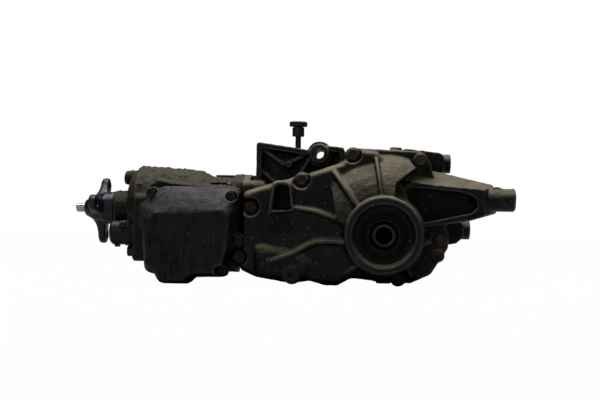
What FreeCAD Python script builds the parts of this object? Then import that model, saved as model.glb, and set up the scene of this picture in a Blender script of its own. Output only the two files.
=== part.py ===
import FreeCAD, Part
import math
import os

V = FreeCAD.Vector

# All places here are measured from the output axis, in the upright plane through the input axis.
# save() then moves every node, so that the origin lies below the middle of the whole object.
# +X points to the rear of the car, +Z up, and -Y is the side with the control unit.
# Rounded outlines are lists of corners (x, z, corner radius), counterclockwise seen from -Y.

# Main planes and axes
PINION_OFFSET = 31.0
PARTING_Y = -40.0
MATE_X = -188.0
OUTPUT_FACE = 105.0
FLOOR_Z = -66.0

# Clearances
RUNNING_GAP = 0.3
SEAT_FIT = 0.02
SHAFT_FIT = 0.04

# Housing outline at the parting plane, and the flange bolts through it
RIM_OUTLINE = [
    (-186.0, -45.0, 10.0),
    (-166.0, -56.5, 12.0),
    (-121.0, -64.0, 14.0),
    (-96.0, -60.5, 12.0),
    (-76.0, -66.0, 6.0),
    (-60.0, -66.0, 6.0),
    (-42.0, -56.0, 10.0),
    (5.0, -61.0, 8.0),
    (35.0, -62.0, 8.0),
    (62.0, -50.0, 12.0),
    (84.0, -15.0, 10.0),
    (84.0, 5.0, 10.0),
    (70.0, 35.0, 20.0),
    (60.0, 95.0, 12.0),
    (48.0, 111.5, 8.0),
    (-42.0, 114.5, 8.0),
    (-56.0, 95.0, 6.0),
    (-100.0, 79.5, 10.0),
    (-160.0, 62.5, 20.0),
    (-184.5, 54.0, 8.0),
]
COVER_BOLTS = [
    (-173.0, 34.4),
    (-187.5, -30.7),
    (-107.9, 70.8),
    (-42.1, 104.5),
    (45.2, 99.5),
    (74.4, -4.1),
    (19.3, -55.5),
]
BOLT_BOSS_RADIUS = 10.5
SPOT_FACE_RADIUS = 12.0
COVER_RIM = 10.0
CARRIER_RIM = 12.0
WALL = 7.0
BOLT_COLUMN_WALL = 5.0

# Flange bolts, M8
BOLT_SHANK = 4.0
BOLT_FLANGE = 8.6
BOLT_FLANGE_THICK = 2.0
BOLT_HEX = 7.2
BOLT_HEAD = 7.5
COVER_BOLT_GRIP = 11.0

# Side cover
COVER_PANEL = 28.0
COVER_DISH_INSET = 4.0
COVER_DRAFT = 8.0
COVER_WALL = 7.0
BOSS_RADIUS = 50.0
FAIRING_RADIUS = 65.5
FAIRING_END = 46.0
DOME_RADIUS = 108.0
DOME_TOP_RADIUS = 54.0
DOME_END = 44.0
DOME_SECTOR = [
    (-8.0, 0.0, 4.0),
    (60.0, 20.0, 4.0),
    (58.0, 92.0, 6.0),
    (34.0, 106.0, 8.0),
    (-34.0, 109.0, 8.0),
    (-72.0, 84.0, 4.0),
]
RIB_WIDTH = 6.0
BULGE_OUTLINE = [
    (-163.0, -53.0, 10.0),
    (-118.0, -59.0, 10.0),
    (-60.0, -54.0, 8.0),
    (-50.0, -15.0, 8.0),
    (-92.0, -14.0, 20.0),
    (-132.0, -20.0, 10.0),
    (-169.0, -11.0, 9.0),
]
BULGE_HEIGHT = 5.0
ARCH_OUTLINE = [
    (-152.0, 26.0, 2.0),
    (-111.0, 26.0, 2.0),
    (-119.0, 70.0, 11.0),
    (-143.0, 70.0, 11.0),
]
ARCH_WALL = 6.0
ARCH_HEIGHT = 7.0
ARCH_DEPTH = 13.0
PLUG_PLACE = (-117.9, -52.0)
PLUG_RADIUS = 8.6
PLUG_BOSS_RADIUS = 11.0
PLUG_BOSS_HEIGHT = 8.0
PLUG_HEAD = 3.0
PLUG_LENGTH = 12.0

# Rear mounting arm of the side cover
ARM_NEAR_Y = -64.0
ARM_FAR_Y = -28.0
ARM_NEAR = [
    (6.0, 16.0),
    (52.0, 13.0),
    (126.0, 31.0),
    (148.0, 35.0),
    (148.0, 60.0),
    (64.0, 67.0),
    (4.0, 76.0),
]
ARM_FAR = [
    (6.0, 16.0),
    (52.0, 13.0),
    (126.0, 31.0),
    (148.0, 35.0),
    (148.0, 66.0),
    (73.0, 84.0),
    (4.0, 97.0),
]
ARM_POCKET = [
    (33.0, 47.0, 5.0),
    (55.0, 21.0, 5.0),
    (78.0, 27.5, 5.0),
    (116.0, 38.0, 6.0),
    (100.0, 57.5, 6.0),
    (64.0, 61.5, 5.0),
]
ARM_SMALL_POCKET = [
    (8.0, 71.0, 1.5),
    (19.0, 62.0, 1.5),
    (37.0, 67.5, 1.5),
]
ARM_POCKET_DEPTH = 28.0
ARM_SMALL_POCKET_DEPTH = 12.0
ARM_BOSS_RADIUS = 15.0
ARM_BOSS_Y = -45.0
ARM_BOSS_Z = 49.0
ARM_BOSS_START = 120.0
ARM_BOSS_END = 171.0
ARM_BORE_RADIUS = 6.4

# Carrier housing
CARRIER_DEPTH = 48.0
CARRIER_INSET = 5.0
CARRIER_DRAFT = 9.0
TUBE_RADIUS = 39.0
TUBE_END = -58.0
MATE_FLANGE_RADIUS = 48.0
MATE_BOLT_CIRCLE = 52.0
MATE_FLANGE = 10.0
MATE_EAR_ANGLES = [35.0, 145.0, 215.0, 325.0]
MATE_EAR_RADIUS = 9.0
MATE_EAR_LENGTH = 30.0
BELLY_START = 14.0
BELLY_END = 50.0
CHAMBER_RADIUS = 60.5
FAR_FAIRING_END = 74.0
PAD_PLACES = [(-125.0, 33.0), (-72.0, 36.0), (0.0, 36.0)]
PAD_LENGTH = 20.0
PAD_WIDTH = 20.0
PAD_HEIGHT = 22.0

# Lattice bracket and top mount eye of the carrier
BRACKET_NEAR_Y = -34.0
BRACKET_FAR_Y = 18.0
BRACKET_WEB = 6.0
BRACKET_WALL = 7.0
BRACKET_OUTLINE = [
    (-170.0, 45.0, 2.0),
    (-60.0, 60.0, 2.0),
    (-52.0, 100.0, 4.0),
    (-55.0, 115.5, 3.0),
    (-74.0, 117.0, 8.0),
    (-104.0, 111.5, 14.0),
    (-118.0, 114.0, 20.0),
    (-170.0, 121.0, 4.0),
]
BRACKET_RIBS = [
    (-164.0, 113.0, -133.3, 91.8),
    (-133.3, 91.8, -108.0, 104.0),
    (-164.0, 84.0, -145.0, 67.0),
    (-101.0, 100.0, -112.0, 78.0),
]
BRACKET_RIB_WIDTH = 4.5
BRACKET_STUD = (-127.0, 92.0)
BRACKET_STUD_RADIUS = 4.0
EYE_PLACE = (-87.0, 106.5)
EYE_RADIUS = 16.7
EYE_BOSS_RADIUS = 12.6
EYE_BOSS_PROUD = 4.0
EYE_BORE_RADIUS = 6.4

# Rear lugs of the carrier, both with bores along X
LUG_Y = 20.0
LUG_WIDTH = 30.0
UPPER_LUG_OUTLINE = [
    (10.0, 80.0, 4.0),
    (66.0, 78.0, 4.0),
    (80.0, 88.0, 4.0),
    (80.0, 113.0, 9.0),
    (28.0, 118.5, 6.0),
    (10.0, 112.0, 6.0),
]
UPPER_LUG_Z = 99.5
UPPER_LUG_END = 89.0
LOWER_LUG_OUTLINE = [
    (50.0, -16.0, 4.0),
    (98.0, -9.0, 6.0),
    (108.0, 0.0, 4.0),
    (108.0, 20.0, 6.0),
    (50.0, 28.0, 4.0),
]
LOWER_LUG_Z = 9.7
LOWER_LUG_END = 117.0
LUG_BOSS_RADIUS = 13.0
LUG_BOSS_LENGTH = 34.0
SLEEVE_RADIUS = 8.0
SLEEVE_BORE = 5.25
TOP_BOSS_X = 14.0
TOP_BOSS_Z = 117.0
TOP_BOSS_RADIUS = 8.0

# Output bearings, seals and mouths
BEARING_OUTER = 34.0
BEARING_INNER = 20.0
BEARING_WIDTH = 16.0
BEARING_START = 56.0
SEAL_OUTER = 31.0
SEAL_LIP = 20.0
SEAL_WIDTH = 10.0
MOUTH_RADIUS = 41.0
MOUTH_INNER = 36.0
MOUTH_DEPTH = 9.0
SHAFT_PASSAGE = 27.0

# Coupling housing
BARREL_RADIUS = 57.0
BARREL_FRONT = -337.0
BARREL_SHOULDER = -326.0
BARREL_TAPER_START = -245.0
BARREL_TAPER_END = -229.0
BARREL_REAR_RADIUS = 43.0
BARREL_MID_RADIUS = 52.0
BARREL_FACE_RADIUS = 46.0
BARREL_WALL = 5.5
NECK_RADIUS = 23.5
NECK_FRONT = -361.5
COUPLING_FLANGE = 12.0
COUPLING_EAR_HEAD = 8.0
TOP_MOUNT_Z = 72.3
TOP_MOUNT_RADIUS = 9.5
TOP_MOUNT_FRONT = -350.0
TOP_MOUNT_BACK = -300.0
TOP_MOUNT_HOLE = 5.0
TOP_MOUNT_HOLE_DEPTH = 26.0
TOP_MOUNT_WEB = 8.0
PAD_FACE_Y = -60.0
SUMP_START = -324.0
SUMP_END = -206.0
SUMP_OUTLINE = [
    (-60.0, -40.0, 10.0),
    (-46.0, -50.0, 10.0),
    (24.0, -50.0, 14.0),
    (44.0, -20.0, 20.0),
    (44.0, 20.0, 4.0),
    (-60.0, 52.0, 8.0),
]
SUMP_WALL = 7.0
SUMP_FOOT_PLACE = (-281.0, 12.0)
SUMP_FOOT_RADIUS = 14.0
SUMP_BOLT_PLACE = (-20.0, -26.0)
SUMP_BOLT_FACE = -333.0
SUMP_BOLT_BOSS = 12.0
GUIDE_Y = 30.0
GUIDE_START = -232.0
GUIDE_END = -174.0
GUIDE_WIDTH = 9.0
GUIDE_HEIGHT = 6.0
GUIDE_Z = 76.5

# Pump motor
MOTOR_Y = -25.0
MOTOR_Z = -1.6
MOTOR_RADIUS = 16.0
MOTOR_WALL = 2.0
MOTOR_FRONT = -361.5
MOTOR_FACE = -338.0
MOTOR_EAR = 4.0
MOTOR_ROTOR = 11.0
MOTOR_SHAFT = 3.0
MOTOR_SCREW_REACH = 21.5
MOTOR_FLANGE_RADIUS = 17.2
MOTOR_SCREW_ANGLES = [150.0, 330.0]
PUMP_WHEEL = 9.0
PUMP_START = 4.0
PUMP_END = 13.5

# Control unit
UNIT_FRONT = -95.0
UNIT_FLANGE = 6.0
UNIT_INSET = 7.0
UNIT_OUTLINE = [
    (-241.0, -66.0, 5.0),
    (-235.5, -56.5, 4.0),
    (-201.0, -56.5, 6.0),
    (-194.5, -50.0, 5.0),
    (-194.5, -30.0, 8.0),
    (-179.5, -15.0, 5.0),
    (-179.5, -4.0, 4.0),
    (-182.5, 2.0, 5.0),
    (-182.5, 54.5, 6.0),
    (-204.0, 58.5, 10.0),
    (-286.0, 58.5, 10.0),
    (-300.0, 43.0, 6.0),
    (-310.5, 33.0, 6.0),
    (-310.5, 10.0, 6.0),
    (-302.0, -5.0, 12.0),
    (-300.0, -50.0, 6.0),
    (-287.0, -53.0, 5.0),
    (-279.0, -66.0, 5.0),
]
UNIT_FACE = [
    (-241.0, -61.0, 5.0),
    (-235.5, -51.5, 4.0),
    (-215.0, -51.5, 6.0),
    (-203.0, -41.0, 8.0),
    (-199.5, -30.0, 6.0),
    (-195.5, -12.0, 5.0),
    (-193.5, -4.0, 4.0),
    (-192.5, 2.0, 5.0),
    (-192.5, 28.0, 8.0),
    (-206.0, 41.0, 10.0),
    (-284.0, 41.0, 10.0),
    (-294.0, 33.0, 6.0),
    (-303.5, 27.0, 6.0),
    (-303.5, 10.0, 6.0),
    (-296.0, -5.0, 12.0),
    (-294.0, -45.0, 6.0),
    (-284.0, -48.0, 5.0),
    (-277.0, -61.0, 5.0),
]
UNIT_SCREWS = [(-196.2, 47.2), (-301.4, 24.0), (-207.0, -48.0), (-187.0, -8.5)]
UNIT_SCREW_EAR = 8.0
UNIT_SCREW_BOSS = 6.0
UNIT_SCREW_BOSS_LENGTH = 8.5
UNIT_SHELF_LOW = -14.0
UNIT_SHELF_HIGH = 53.0
UNIT_SCREW_SHANK = 2.5
UNIT_SCREW_HEAD = 5.5
UNIT_SCREW_HEIGHT = 4.5
UNIT_SCREW_GRIP = 20.0

# Input shaft and flange
INPUT_SHAFT = 12.5
PILOT_RADIUS = 5.8
PILOT_FRONT = -415.0
PILOT_STEP = 0.4
SPIDER_FRONT = -394.0
SPIDER_BACK = -380.0
SPIDER_NOSE = 9.0
SPIDER_NOSE_RADIUS = 10.0
SPIDER_CORE = 19.0
HUB_RADIUS = 21.6
HUB_BACK = -364.0
EAR_CIRCLE = 39.0
EAR_RADIUS = 11.0
EAR_HOLE = 5.25
EAR_COUNT = 3
EAR_FIRST_ANGLE = 171.0
SHIELD_RADIUS = 22.6
SHIELD_THICK = 3.0
INPUT_BEARING_OUTER = 28.0
INPUT_BEARING_WIDTH = 15.0
INPUT_BEARING_FRONT = -337.0
INPUT_SEAL_OUTER = 19.0
INPUT_SEAL_WIDTH = 9.0

# Clutch
DRUM_RADIUS = 47.5
DRUM_WALL = 3.0
DRUM_GAP = 1.5
DRUM_FRONT = -318.0
DRUM_BACK = -266.0
DRUM_FLOOR = 5.0
PLATE_COUNT = 3
PLATE_THICK = 2.6
PLATE_GAP = 0.4
PLATE_FRONT = -309.0
PLATE_OUTER = 43.0
PLATE_INNER = 30.5
TAB_COUNT = 6
TAB_WIDTH = 9.0
TAB_REACH = 2.4
HUB_OUTER = 29.0
HUB_WALL = 4.0
HUB_PLATE_FRONT = -311.0
HUB_PLATE_BACK = -268.0
HUB_DISC = 6.0
PISTON_INNER = 24.0
PISTON_OUTER = 42.0
PISTON_BACK = -252.0
PISTON_THICK = 10.0
PISTON_TRAVEL = 1.2
CENTRE_WALL_BACK = -236.0

# Pinion and its bearings
PINION_TEETH = 17
RING_TEETH = 27
MESH_RADIUS = 48.0
MESH_HEIGHT = 25.0
PINION_HEEL = 9.0
PINION_TOE = 8.0
TOOTH_ADDENDUM = 1.9
TOOTH_DEDENDUM = 3.0
TOOTH_BACKLASH = 2.6
FLANK_ANGLE = 20.0
PINION_SHAFT = 15.0
PINION_TAIL = 13.0
PINION_NOSE = 11.0
HEAD_BEARING_OUTER = 34.0
HEAD_BEARING_WIDTH = 20.0
HEAD_BEARING_END = -60.0
TAIL_BEARING_OUTER = 27.0
TAIL_BEARING_WIDTH = 17.0
TAIL_BEARING_START = -187.0
PINION_NUT_RADIUS = 20.0
PINION_NUT_THICK = 9.0
TAPER_ANGLE = 12.0
ROLLER_COUNT = 14
ROLLER_SIDES = 10

# Ring gear and differential case
RING_OUTER = 57.0
RING_INNER = 39.0
RING_BACK = 41.0
RING_BOLTS = 8
RING_BOLT_CIRCLE = 46.0
RING_BOLT_SHANK = 3.5
RING_BOLT_HEAD = 6.0
RING_BOLT_HEIGHT = 5.0
CASE_RADIUS = 31.5
CASE_BORE = 26.5
CASE_HALF = 24.0
CASE_FLANGE = 8.0
CASE_FLANGE_RADIUS = 52.0
CASE_WINDOW = 30.0
CROSS_PIN = 6.0

# Differential bevel gears
SIDE_TEETH = 16
PLANET_TEETH = 10
BEVEL_MODULE = 2.5
BEVEL_FACE = 8.0
BEVEL_BACKLASH = 0.35
BEVEL_ADDENDUM = 2.0
BEVEL_DEDENDUM = 2.6
SIDE_HUB_RADIUS = 14.6
SIDE_HUB_END = 38.0
SIDE_SPLINE = 11.5

# Breather
BREATHER_X = -118.0
BREATHER_Y = 0.0
BREATHER_SEAT = 113.0
BREATHER_STEM = 3.8
BREATHER_BODY = 8.0
BREATHER_BODY_Z = 131.9
BREATHER_CAP = 12.0
BREATHER_CAP_Z = 145.4
BREATHER_TOP_Z = 151.5
BREATHER_LIFT = 1.0


def unit(x, z):
    length = math.hypot(x, z)
    return x / length, z / length


def inset_corners(corners, inset):
    """The same outline with every side moved inwards by the inset."""
    moved = []
    count = len(corners)
    for i in range(count):
        x, z, radius = corners[i]
        before = corners[i - 1]
        after = corners[(i + 1) % count]
        ax, az = unit(x - before[0], z - before[1])
        bx, bz = unit(after[0] - x, after[1] - z)
        turn = ax * bz - az * bx
        reach = inset / (1.0 + ax * bx + az * bz)
        new_radius = max(radius - inset, 1.0) if turn > 0 else radius + inset
        moved.append((x - reach * (az + bz), z + reach * (ax + bx), new_radius))
    return moved


def rounded_wire(corners, place):
    """A closed wire of straight sides and tangent arcs; place turns (x, z) into a point."""
    count = len(corners)
    arcs = []
    for i in range(count):
        x, z, radius = corners[i]
        before = corners[i - 1]
        after = corners[(i + 1) % count]
        length_in = math.hypot(x - before[0], z - before[1])
        length_out = math.hypot(after[0] - x, after[1] - z)
        ax, az = unit(x - before[0], z - before[1])
        bx, bz = unit(after[0] - x, after[1] - z)
        cosine = max(-1.0, min(1.0, ax * bx + az * bz))
        half_turn = math.acos(cosine) / 2.0
        reach = min(radius * math.tan(half_turn), 0.48 * min(length_in, length_out))
        start = (x - ax * reach, z - az * reach)
        end = (x + bx * reach, z + bz * reach)
        true_radius = reach / math.tan(half_turn)
        towards = unit(bx - ax, bz - az)
        depth = true_radius / math.cos(half_turn) - true_radius
        middle = (x + towards[0] * depth, z + towards[1] * depth)
        arcs.append((place(*start), place(*middle), place(*end)))
    edges = []
    for i in range(count):
        start, middle, end = arcs[i]
        edges.append(Part.Arc(start, middle, end).toShape())
        edges.append(Part.LineSegment(end, arcs[(i + 1) % count][0]).toShape())
    return Part.Wire(edges)


def side_wire(corners, y):
    return rounded_wire(corners, lambda x, z: V(x, y, z))


def side_prism(corners, y0, y1):
    """A rounded outline in the XZ plane, carried straight from y0 to y1."""
    return Part.Face(side_wire(corners, y0)).extrude(V(0, y1 - y0, 0))


def side_loft(corners, y0, inset0, y1, inset1):
    """A rounded outline in the XZ plane with draft between y0 and y1."""
    wires = [side_wire(inset_corners(corners, inset0), y0), side_wire(inset_corners(corners, inset1), y1)]
    return Part.makeLoft(wires, True, True)


def polygon_loft(near, near_y, far, far_y):
    wires = []
    for points, y in ((near, near_y), (far, far_y)):
        wires.append(Part.makePolygon([V(x, y, z) for x, z in points] + [V(points[0][0], y, points[0][1])]))
    return Part.makeLoft(wires, True, True)


def bar_x(radius, x0, x1, y=0.0, z=PINION_OFFSET):
    return Part.makeCylinder(radius, x1 - x0, V(x0, y, z), V(1, 0, 0))


def bar_y(radius, y0, y1, x=0.0, z=0.0):
    return Part.makeCylinder(radius, y1 - y0, V(x, y0, z), V(0, 1, 0))


def bar_z(radius, z0, z1, x, y):
    return Part.makeCylinder(radius, z1 - z0, V(x, y, z0), V(0, 0, 1))


def turned_x(profile, y=0.0, z=PINION_OFFSET):
    """A turned part about an axis along X; the profile is (x, radius) points."""
    points = [V(x, y, z + radius) for x, radius in profile]
    face = Part.Face(Part.makePolygon(points + [points[0]]))
    return face.revolve(V(0, y, z), V(1, 0, 0), 360)


def turned_y(profile, side=1.0):
    """A turned part about the output axis; the profile is (distance from the centre plane, radius)."""
    points = [V(radius, side * y, 0) for y, radius in profile]
    face = Part.Face(Part.makePolygon(points + [points[0]]))
    return face.revolve(V(0, 0, 0), V(0, 1, 0), 360)


def turned_z(profile, x=0.0, y=0.0):
    points = [V(x + radius, y, z) for z, radius in profile]
    face = Part.Face(Part.makePolygon(points + [points[0]]))
    return face.revolve(V(x, y, 0), V(0, 0, 1), 360)


def box(x0, x1, y0, y1, z0, z1):
    return Part.makeBox(x1 - x0, y1 - y0, z1 - z0, V(x0, y0, z0))


def many_sided(radius, height, sides):
    """An upright prism with many sides, for a hexagon head or a plain roller."""
    points = []
    for i in range(sides):
        angle = math.tau * i / sides
        points.append(V(radius * math.cos(angle), radius * math.sin(angle), 0))
    return Part.Face(Part.makePolygon(points + [points[0]])).extrude(V(0, 0, height))


def stood_along(shape, origin, direction):
    """The shape, modelled along +Z at the origin, stood at a point along a direction."""
    copy = shape.copy()
    copy.Placement = FreeCAD.Placement(origin, FreeCAD.Rotation(V(0, 0, 1), direction))
    return copy


def rib(x0, z0, x1, z1, width, foot_y, crest0, crest1):
    """An upright wall between two points, from foot_y out to a crest that may slope."""
    across = V(-(z1 - z0), 0, x1 - x0)
    across.normalize()
    half = across * (width / 2.0)
    corners = [V(x0, foot_y, z0), V(x1, foot_y, z1), V(x1, crest1, z1), V(x0, crest0, z0)]
    wall = Part.Face(Part.makePolygon([p - half for p in corners] + [corners[0] - half]))
    return wall.extrude(half * 2.0)


def tidied(shape):
    """The shape with faces that continue each other joined, where that leaves it sound."""
    joined = shape.removeSplitter()
    return joined if joined.isValid() else shape


def fused(shapes):
    return tidied(shapes[0].fuse(shapes[1:]))


def save(name, shapes):
    """Write one node; a list makes a node of several separate solids."""
    solids = []
    for shape in shapes if isinstance(shapes, list) else [shapes]:
        solids.extend(shape.Solids)
    whole = solids[0] if len(solids) == 1 else Part.makeCompound(solids)
    to_frame = V(-(PILOT_FRONT + ARM_BOSS_END) / 2.0, 0, -FLOOR_Z)
    whole.translated(to_frame).exportStep(os.path.join("parts", name + ".step"))


def flange_bolt(grip):
    """A hexagon bolt with a flange, standing along +Z with its seat at the origin."""
    flange = Part.makeCone(BOLT_FLANGE, BOLT_HEX, BOLT_FLANGE_THICK)
    hexagon = many_sided(BOLT_HEX, BOLT_HEAD, 6)
    dimple = Part.makeCone(3.5, 4.5, 1.2, V(0, 0, BOLT_HEAD - 1.2))
    shank = Part.makeCylinder(BOLT_SHANK, grip, V(0, 0, -grip))
    return fused([flange, hexagon, shank]).cut(dimple)


# Housing


def rim_with_bosses(y0, y1):
    """The flange of one housing half: the common outline and the ears round the bolts."""
    parts = [side_prism(RIM_OUTLINE, y0, y1)]
    parts.extend(bar_y(BOLT_BOSS_RADIUS, y0, y1, x, z) for x, z in COVER_BOLTS)
    return fused(parts)


def bolt_columns(radius, y0, y1):
    return [bar_y(radius, y0, y1, x, z) for x, z in COVER_BOLTS]


def output_bores(side):
    """What is bored out of a housing half along the output axis."""
    cup_end = BEARING_START + BEARING_WIDTH
    mouth = OUTPUT_FACE - MOUTH_DEPTH
    seal_back = mouth - SEAL_WIDTH
    return turned_y([
        (BEARING_START - 20.0, 0.0),
        (BEARING_START - 20.0, BEARING_OUTER + SEAT_FIT),
        (cup_end, BEARING_OUTER + SEAT_FIT),
        (cup_end, SHAFT_PASSAGE),
        (seal_back, SHAFT_PASSAGE),
        (seal_back, SEAL_OUTER + SEAT_FIT),
        (mouth, SEAL_OUTER + SEAT_FIT),
        (mouth, MOUTH_INNER),
        (OUTPUT_FACE - 1.0, MOUTH_RADIUS - 1.0),
        (OUTPUT_FACE + 1.0, MOUTH_RADIUS + 1.0),
        (OUTPUT_FACE + 1.0, 0.0),
    ], side)


def output_boss(side, start, fairing_start, fairing_end):
    """The round boss of an output, its cone-shaped foot and the belly that foot stands on."""
    return turned_y([
        (start, 0.0),
        (start, FAIRING_RADIUS - 5.0),
        (fairing_start, FAIRING_RADIUS),
        (fairing_end, BOSS_RADIUS + 2.0),
        (fairing_end + 8.0, BOSS_RADIUS),
        (OUTPUT_FACE - 2.5, BOSS_RADIUS),
        (OUTPUT_FACE, BOSS_RADIUS - 3.0),
        (OUTPUT_FACE, 0.0),
    ], side)


def cover_ribs(panel_y):
    """The ribs of the cover, each falling from the boss to the edge of the panel."""
    foot = panel_y + 4.0
    high = panel_y - 15.0
    mid = panel_y - 9.0
    low = panel_y - 5.0
    parts = [
        rib(-40.0, 8.0, -82.5, 27.9, RIB_WIDTH, foot, high, mid),
        rib(-82.5, 27.9, -116.4, 33.2, RIB_WIDTH, foot, mid, low - 2.0),
        rib(-42.0, -13.0, -80.6, -9.2, RIB_WIDTH, foot, high, mid - 2.0),
        rib(-80.6, -9.2, -111.5, -22.1, RIB_WIDTH, foot, mid - 2.0, mid),
        rib(-111.5, -22.1, -148.6, -36.2, RIB_WIDTH, foot, mid, low),
        rib(-32.0, 30.0, -71.0, 83.0, RIB_WIDTH + 2.0, foot, high, low - 2.0),
        rib(-4.0, 46.0, -18.5, 101.0, RIB_WIDTH, foot, high, low + 8.0),
        rib(-26.0, -32.0, -52.0, -56.0, RIB_WIDTH, foot, high, low + 4.0),
    ]
    joints = [(-82.5, 27.9, mid), (-80.6, -9.2, mid - 2.0), (-111.5, -22.1, mid)]
    parts.extend(bar_y(RIB_WIDTH / 2.0, y, foot, x, z) for x, z, y in joints)
    return parts


def rear_arm():
    """The long arm to the rear mount: two flanges joined by a web, with a boss along X at its end."""
    beam = polygon_loft(ARM_NEAR, ARM_NEAR_Y, ARM_FAR, ARM_FAR_Y)
    pocket = side_prism(ARM_POCKET, ARM_NEAR_Y - 1.0, ARM_NEAR_Y + ARM_POCKET_DEPTH)
    small = side_prism(ARM_SMALL_POCKET, ARM_NEAR_Y - 1.0, ARM_NEAR_Y + ARM_SMALL_POCKET_DEPTH)
    boss = turned_x([
        (ARM_BOSS_START, 0.0),
        (ARM_BOSS_START, ARM_BOSS_RADIUS - 3.0),
        (ARM_BOSS_START + 4.0, ARM_BOSS_RADIUS),
        (ARM_BOSS_END - 2.0, ARM_BOSS_RADIUS),
        (ARM_BOSS_END, ARM_BOSS_RADIUS - 2.0),
        (ARM_BOSS_END, 0.0),
    ], ARM_BOSS_Y, ARM_BOSS_Z)
    crest = box(136.0, 150.0, ARM_BOSS_Y - 4.0, ARM_BOSS_Y + 4.0, ARM_BOSS_Z, ARM_BOSS_Z + ARM_BOSS_RADIUS + 3.0)
    far_half = side_prism(inset_corners(RIM_OUTLINE, -1.0), PARTING_Y, ARM_FAR_Y + 1.0)
    far_bosses = bolt_columns(BOLT_BOSS_RADIUS + 1.0, PARTING_Y, ARM_FAR_Y + 1.0)
    return beam.cut([pocket, small, far_half] + far_bosses).fuse([boss, crest])


def side_cover():
    rim_y = PARTING_Y - COVER_RIM
    panel_y = PARTING_Y - COVER_PANEL
    panel_inset = COVER_DISH_INSET + COVER_DRAFT
    dish = side_loft(RIM_OUTLINE, rim_y, COVER_DISH_INSET, panel_y, panel_inset)
    bulge = Part.makeLoft([
        side_wire(BULGE_OUTLINE, panel_y + 2.0),
        side_wire(inset_corners(BULGE_OUTLINE, BULGE_HEIGHT), panel_y - BULGE_HEIGHT),
    ], True, True)
    dome = turned_y([
        (-rim_y - 4.0, 0.0),
        (-rim_y - 4.0, DOME_RADIUS),
        (-rim_y + 2.0, DOME_RADIUS),
        (-PARTING_Y + DOME_END, DOME_TOP_RADIUS),
        (-PARTING_Y + DOME_END, 0.0),
    ], -1.0).common(side_prism(DOME_SECTOR, -OUTPUT_FACE, rim_y + 1.0))
    arch = side_loft(ARCH_OUTLINE, panel_y + 4.0, 0.0, panel_y - ARCH_HEIGHT, 1.5)
    arch_pocket = side_loft(ARCH_OUTLINE, panel_y - ARCH_HEIGHT - 1.0, ARCH_WALL, panel_y + ARCH_DEPTH, ARCH_WALL + 1.0)
    plug_x, plug_z = PLUG_PLACE
    plug_boss = bar_y(PLUG_BOSS_RADIUS, panel_y - PLUG_BOSS_HEIGHT, panel_y + 6.0, plug_x, plug_z)
    body = fused([dish, bulge, dome, arch, plug_boss] + cover_ribs(panel_y))
    spot_faces = bolt_columns(SPOT_FACE_RADIUS, -OUTPUT_FACE, rim_y)
    body = body.cut(spot_faces)
    boss = output_boss(-1.0, -rim_y - 2.0, -rim_y + 14.0, -PARTING_Y + FAIRING_END)
    clear = bolt_columns(SPOT_FACE_RADIUS, -OUTPUT_FACE, rim_y)
    body = fused([body, rim_with_bosses(rim_y, PARTING_Y), boss.cut(clear), rear_arm().cut(clear)])
    cavity = side_loft(RIM_OUTLINE, PARTING_Y + 1.0, WALL + 5.0, panel_y + COVER_WALL, panel_inset + WALL)
    column = SPOT_FACE_RADIUS + BOLT_COLUMN_WALL
    pocket_wall = side_prism(inset_corners(ARCH_OUTLINE, 1.0), panel_y, panel_y + ARCH_DEPTH + 5.0)
    bearing_ring = bar_y(BEARING_OUTER + WALL, panel_y, -BEARING_START + 2.0)
    plug_wall = bar_y(PLUG_BOSS_RADIUS, panel_y, panel_y + COVER_WALL + 3.0, plug_x, plug_z)
    solid = bolt_columns(column, panel_y, PARTING_Y + 2.0) + [pocket_wall, bearing_ring, plug_wall]
    cavity = cavity.cut(solid)
    holes = bolt_columns(BOLT_SHANK + SHAFT_FIT, rim_y - 1.0, PARTING_Y + 1.0)
    plug_hole = bar_y(PLUG_RADIUS + SEAT_FIT, panel_y - PLUG_BOSS_HEIGHT - 1.0, PARTING_Y, plug_x, plug_z)
    arm_bore = bar_x(ARM_BORE_RADIUS, ARM_BOSS_START - 1.0, ARM_BOSS_END + 1.0, ARM_BOSS_Y, ARM_BOSS_Z)
    cuts = [cavity, arch_pocket, output_bores(-1.0), plug_hole, arm_bore] + holes
    return tidied(body.cut(cuts))


def mate_places():
    """The bolt places round the joint between the coupling and the carrier.

    The ears of the near side are moved in, so that they stay behind the parting plane.
    """
    places = []
    for angle in MATE_EAR_ANGLES:
        turn = math.radians(angle)
        y = MATE_BOLT_CIRCLE * math.cos(turn)
        z = PINION_OFFSET + MATE_BOLT_CIRCLE * math.sin(turn)
        places.append((max(y, PARTING_Y + MATE_EAR_RADIUS), z))
    return places


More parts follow.
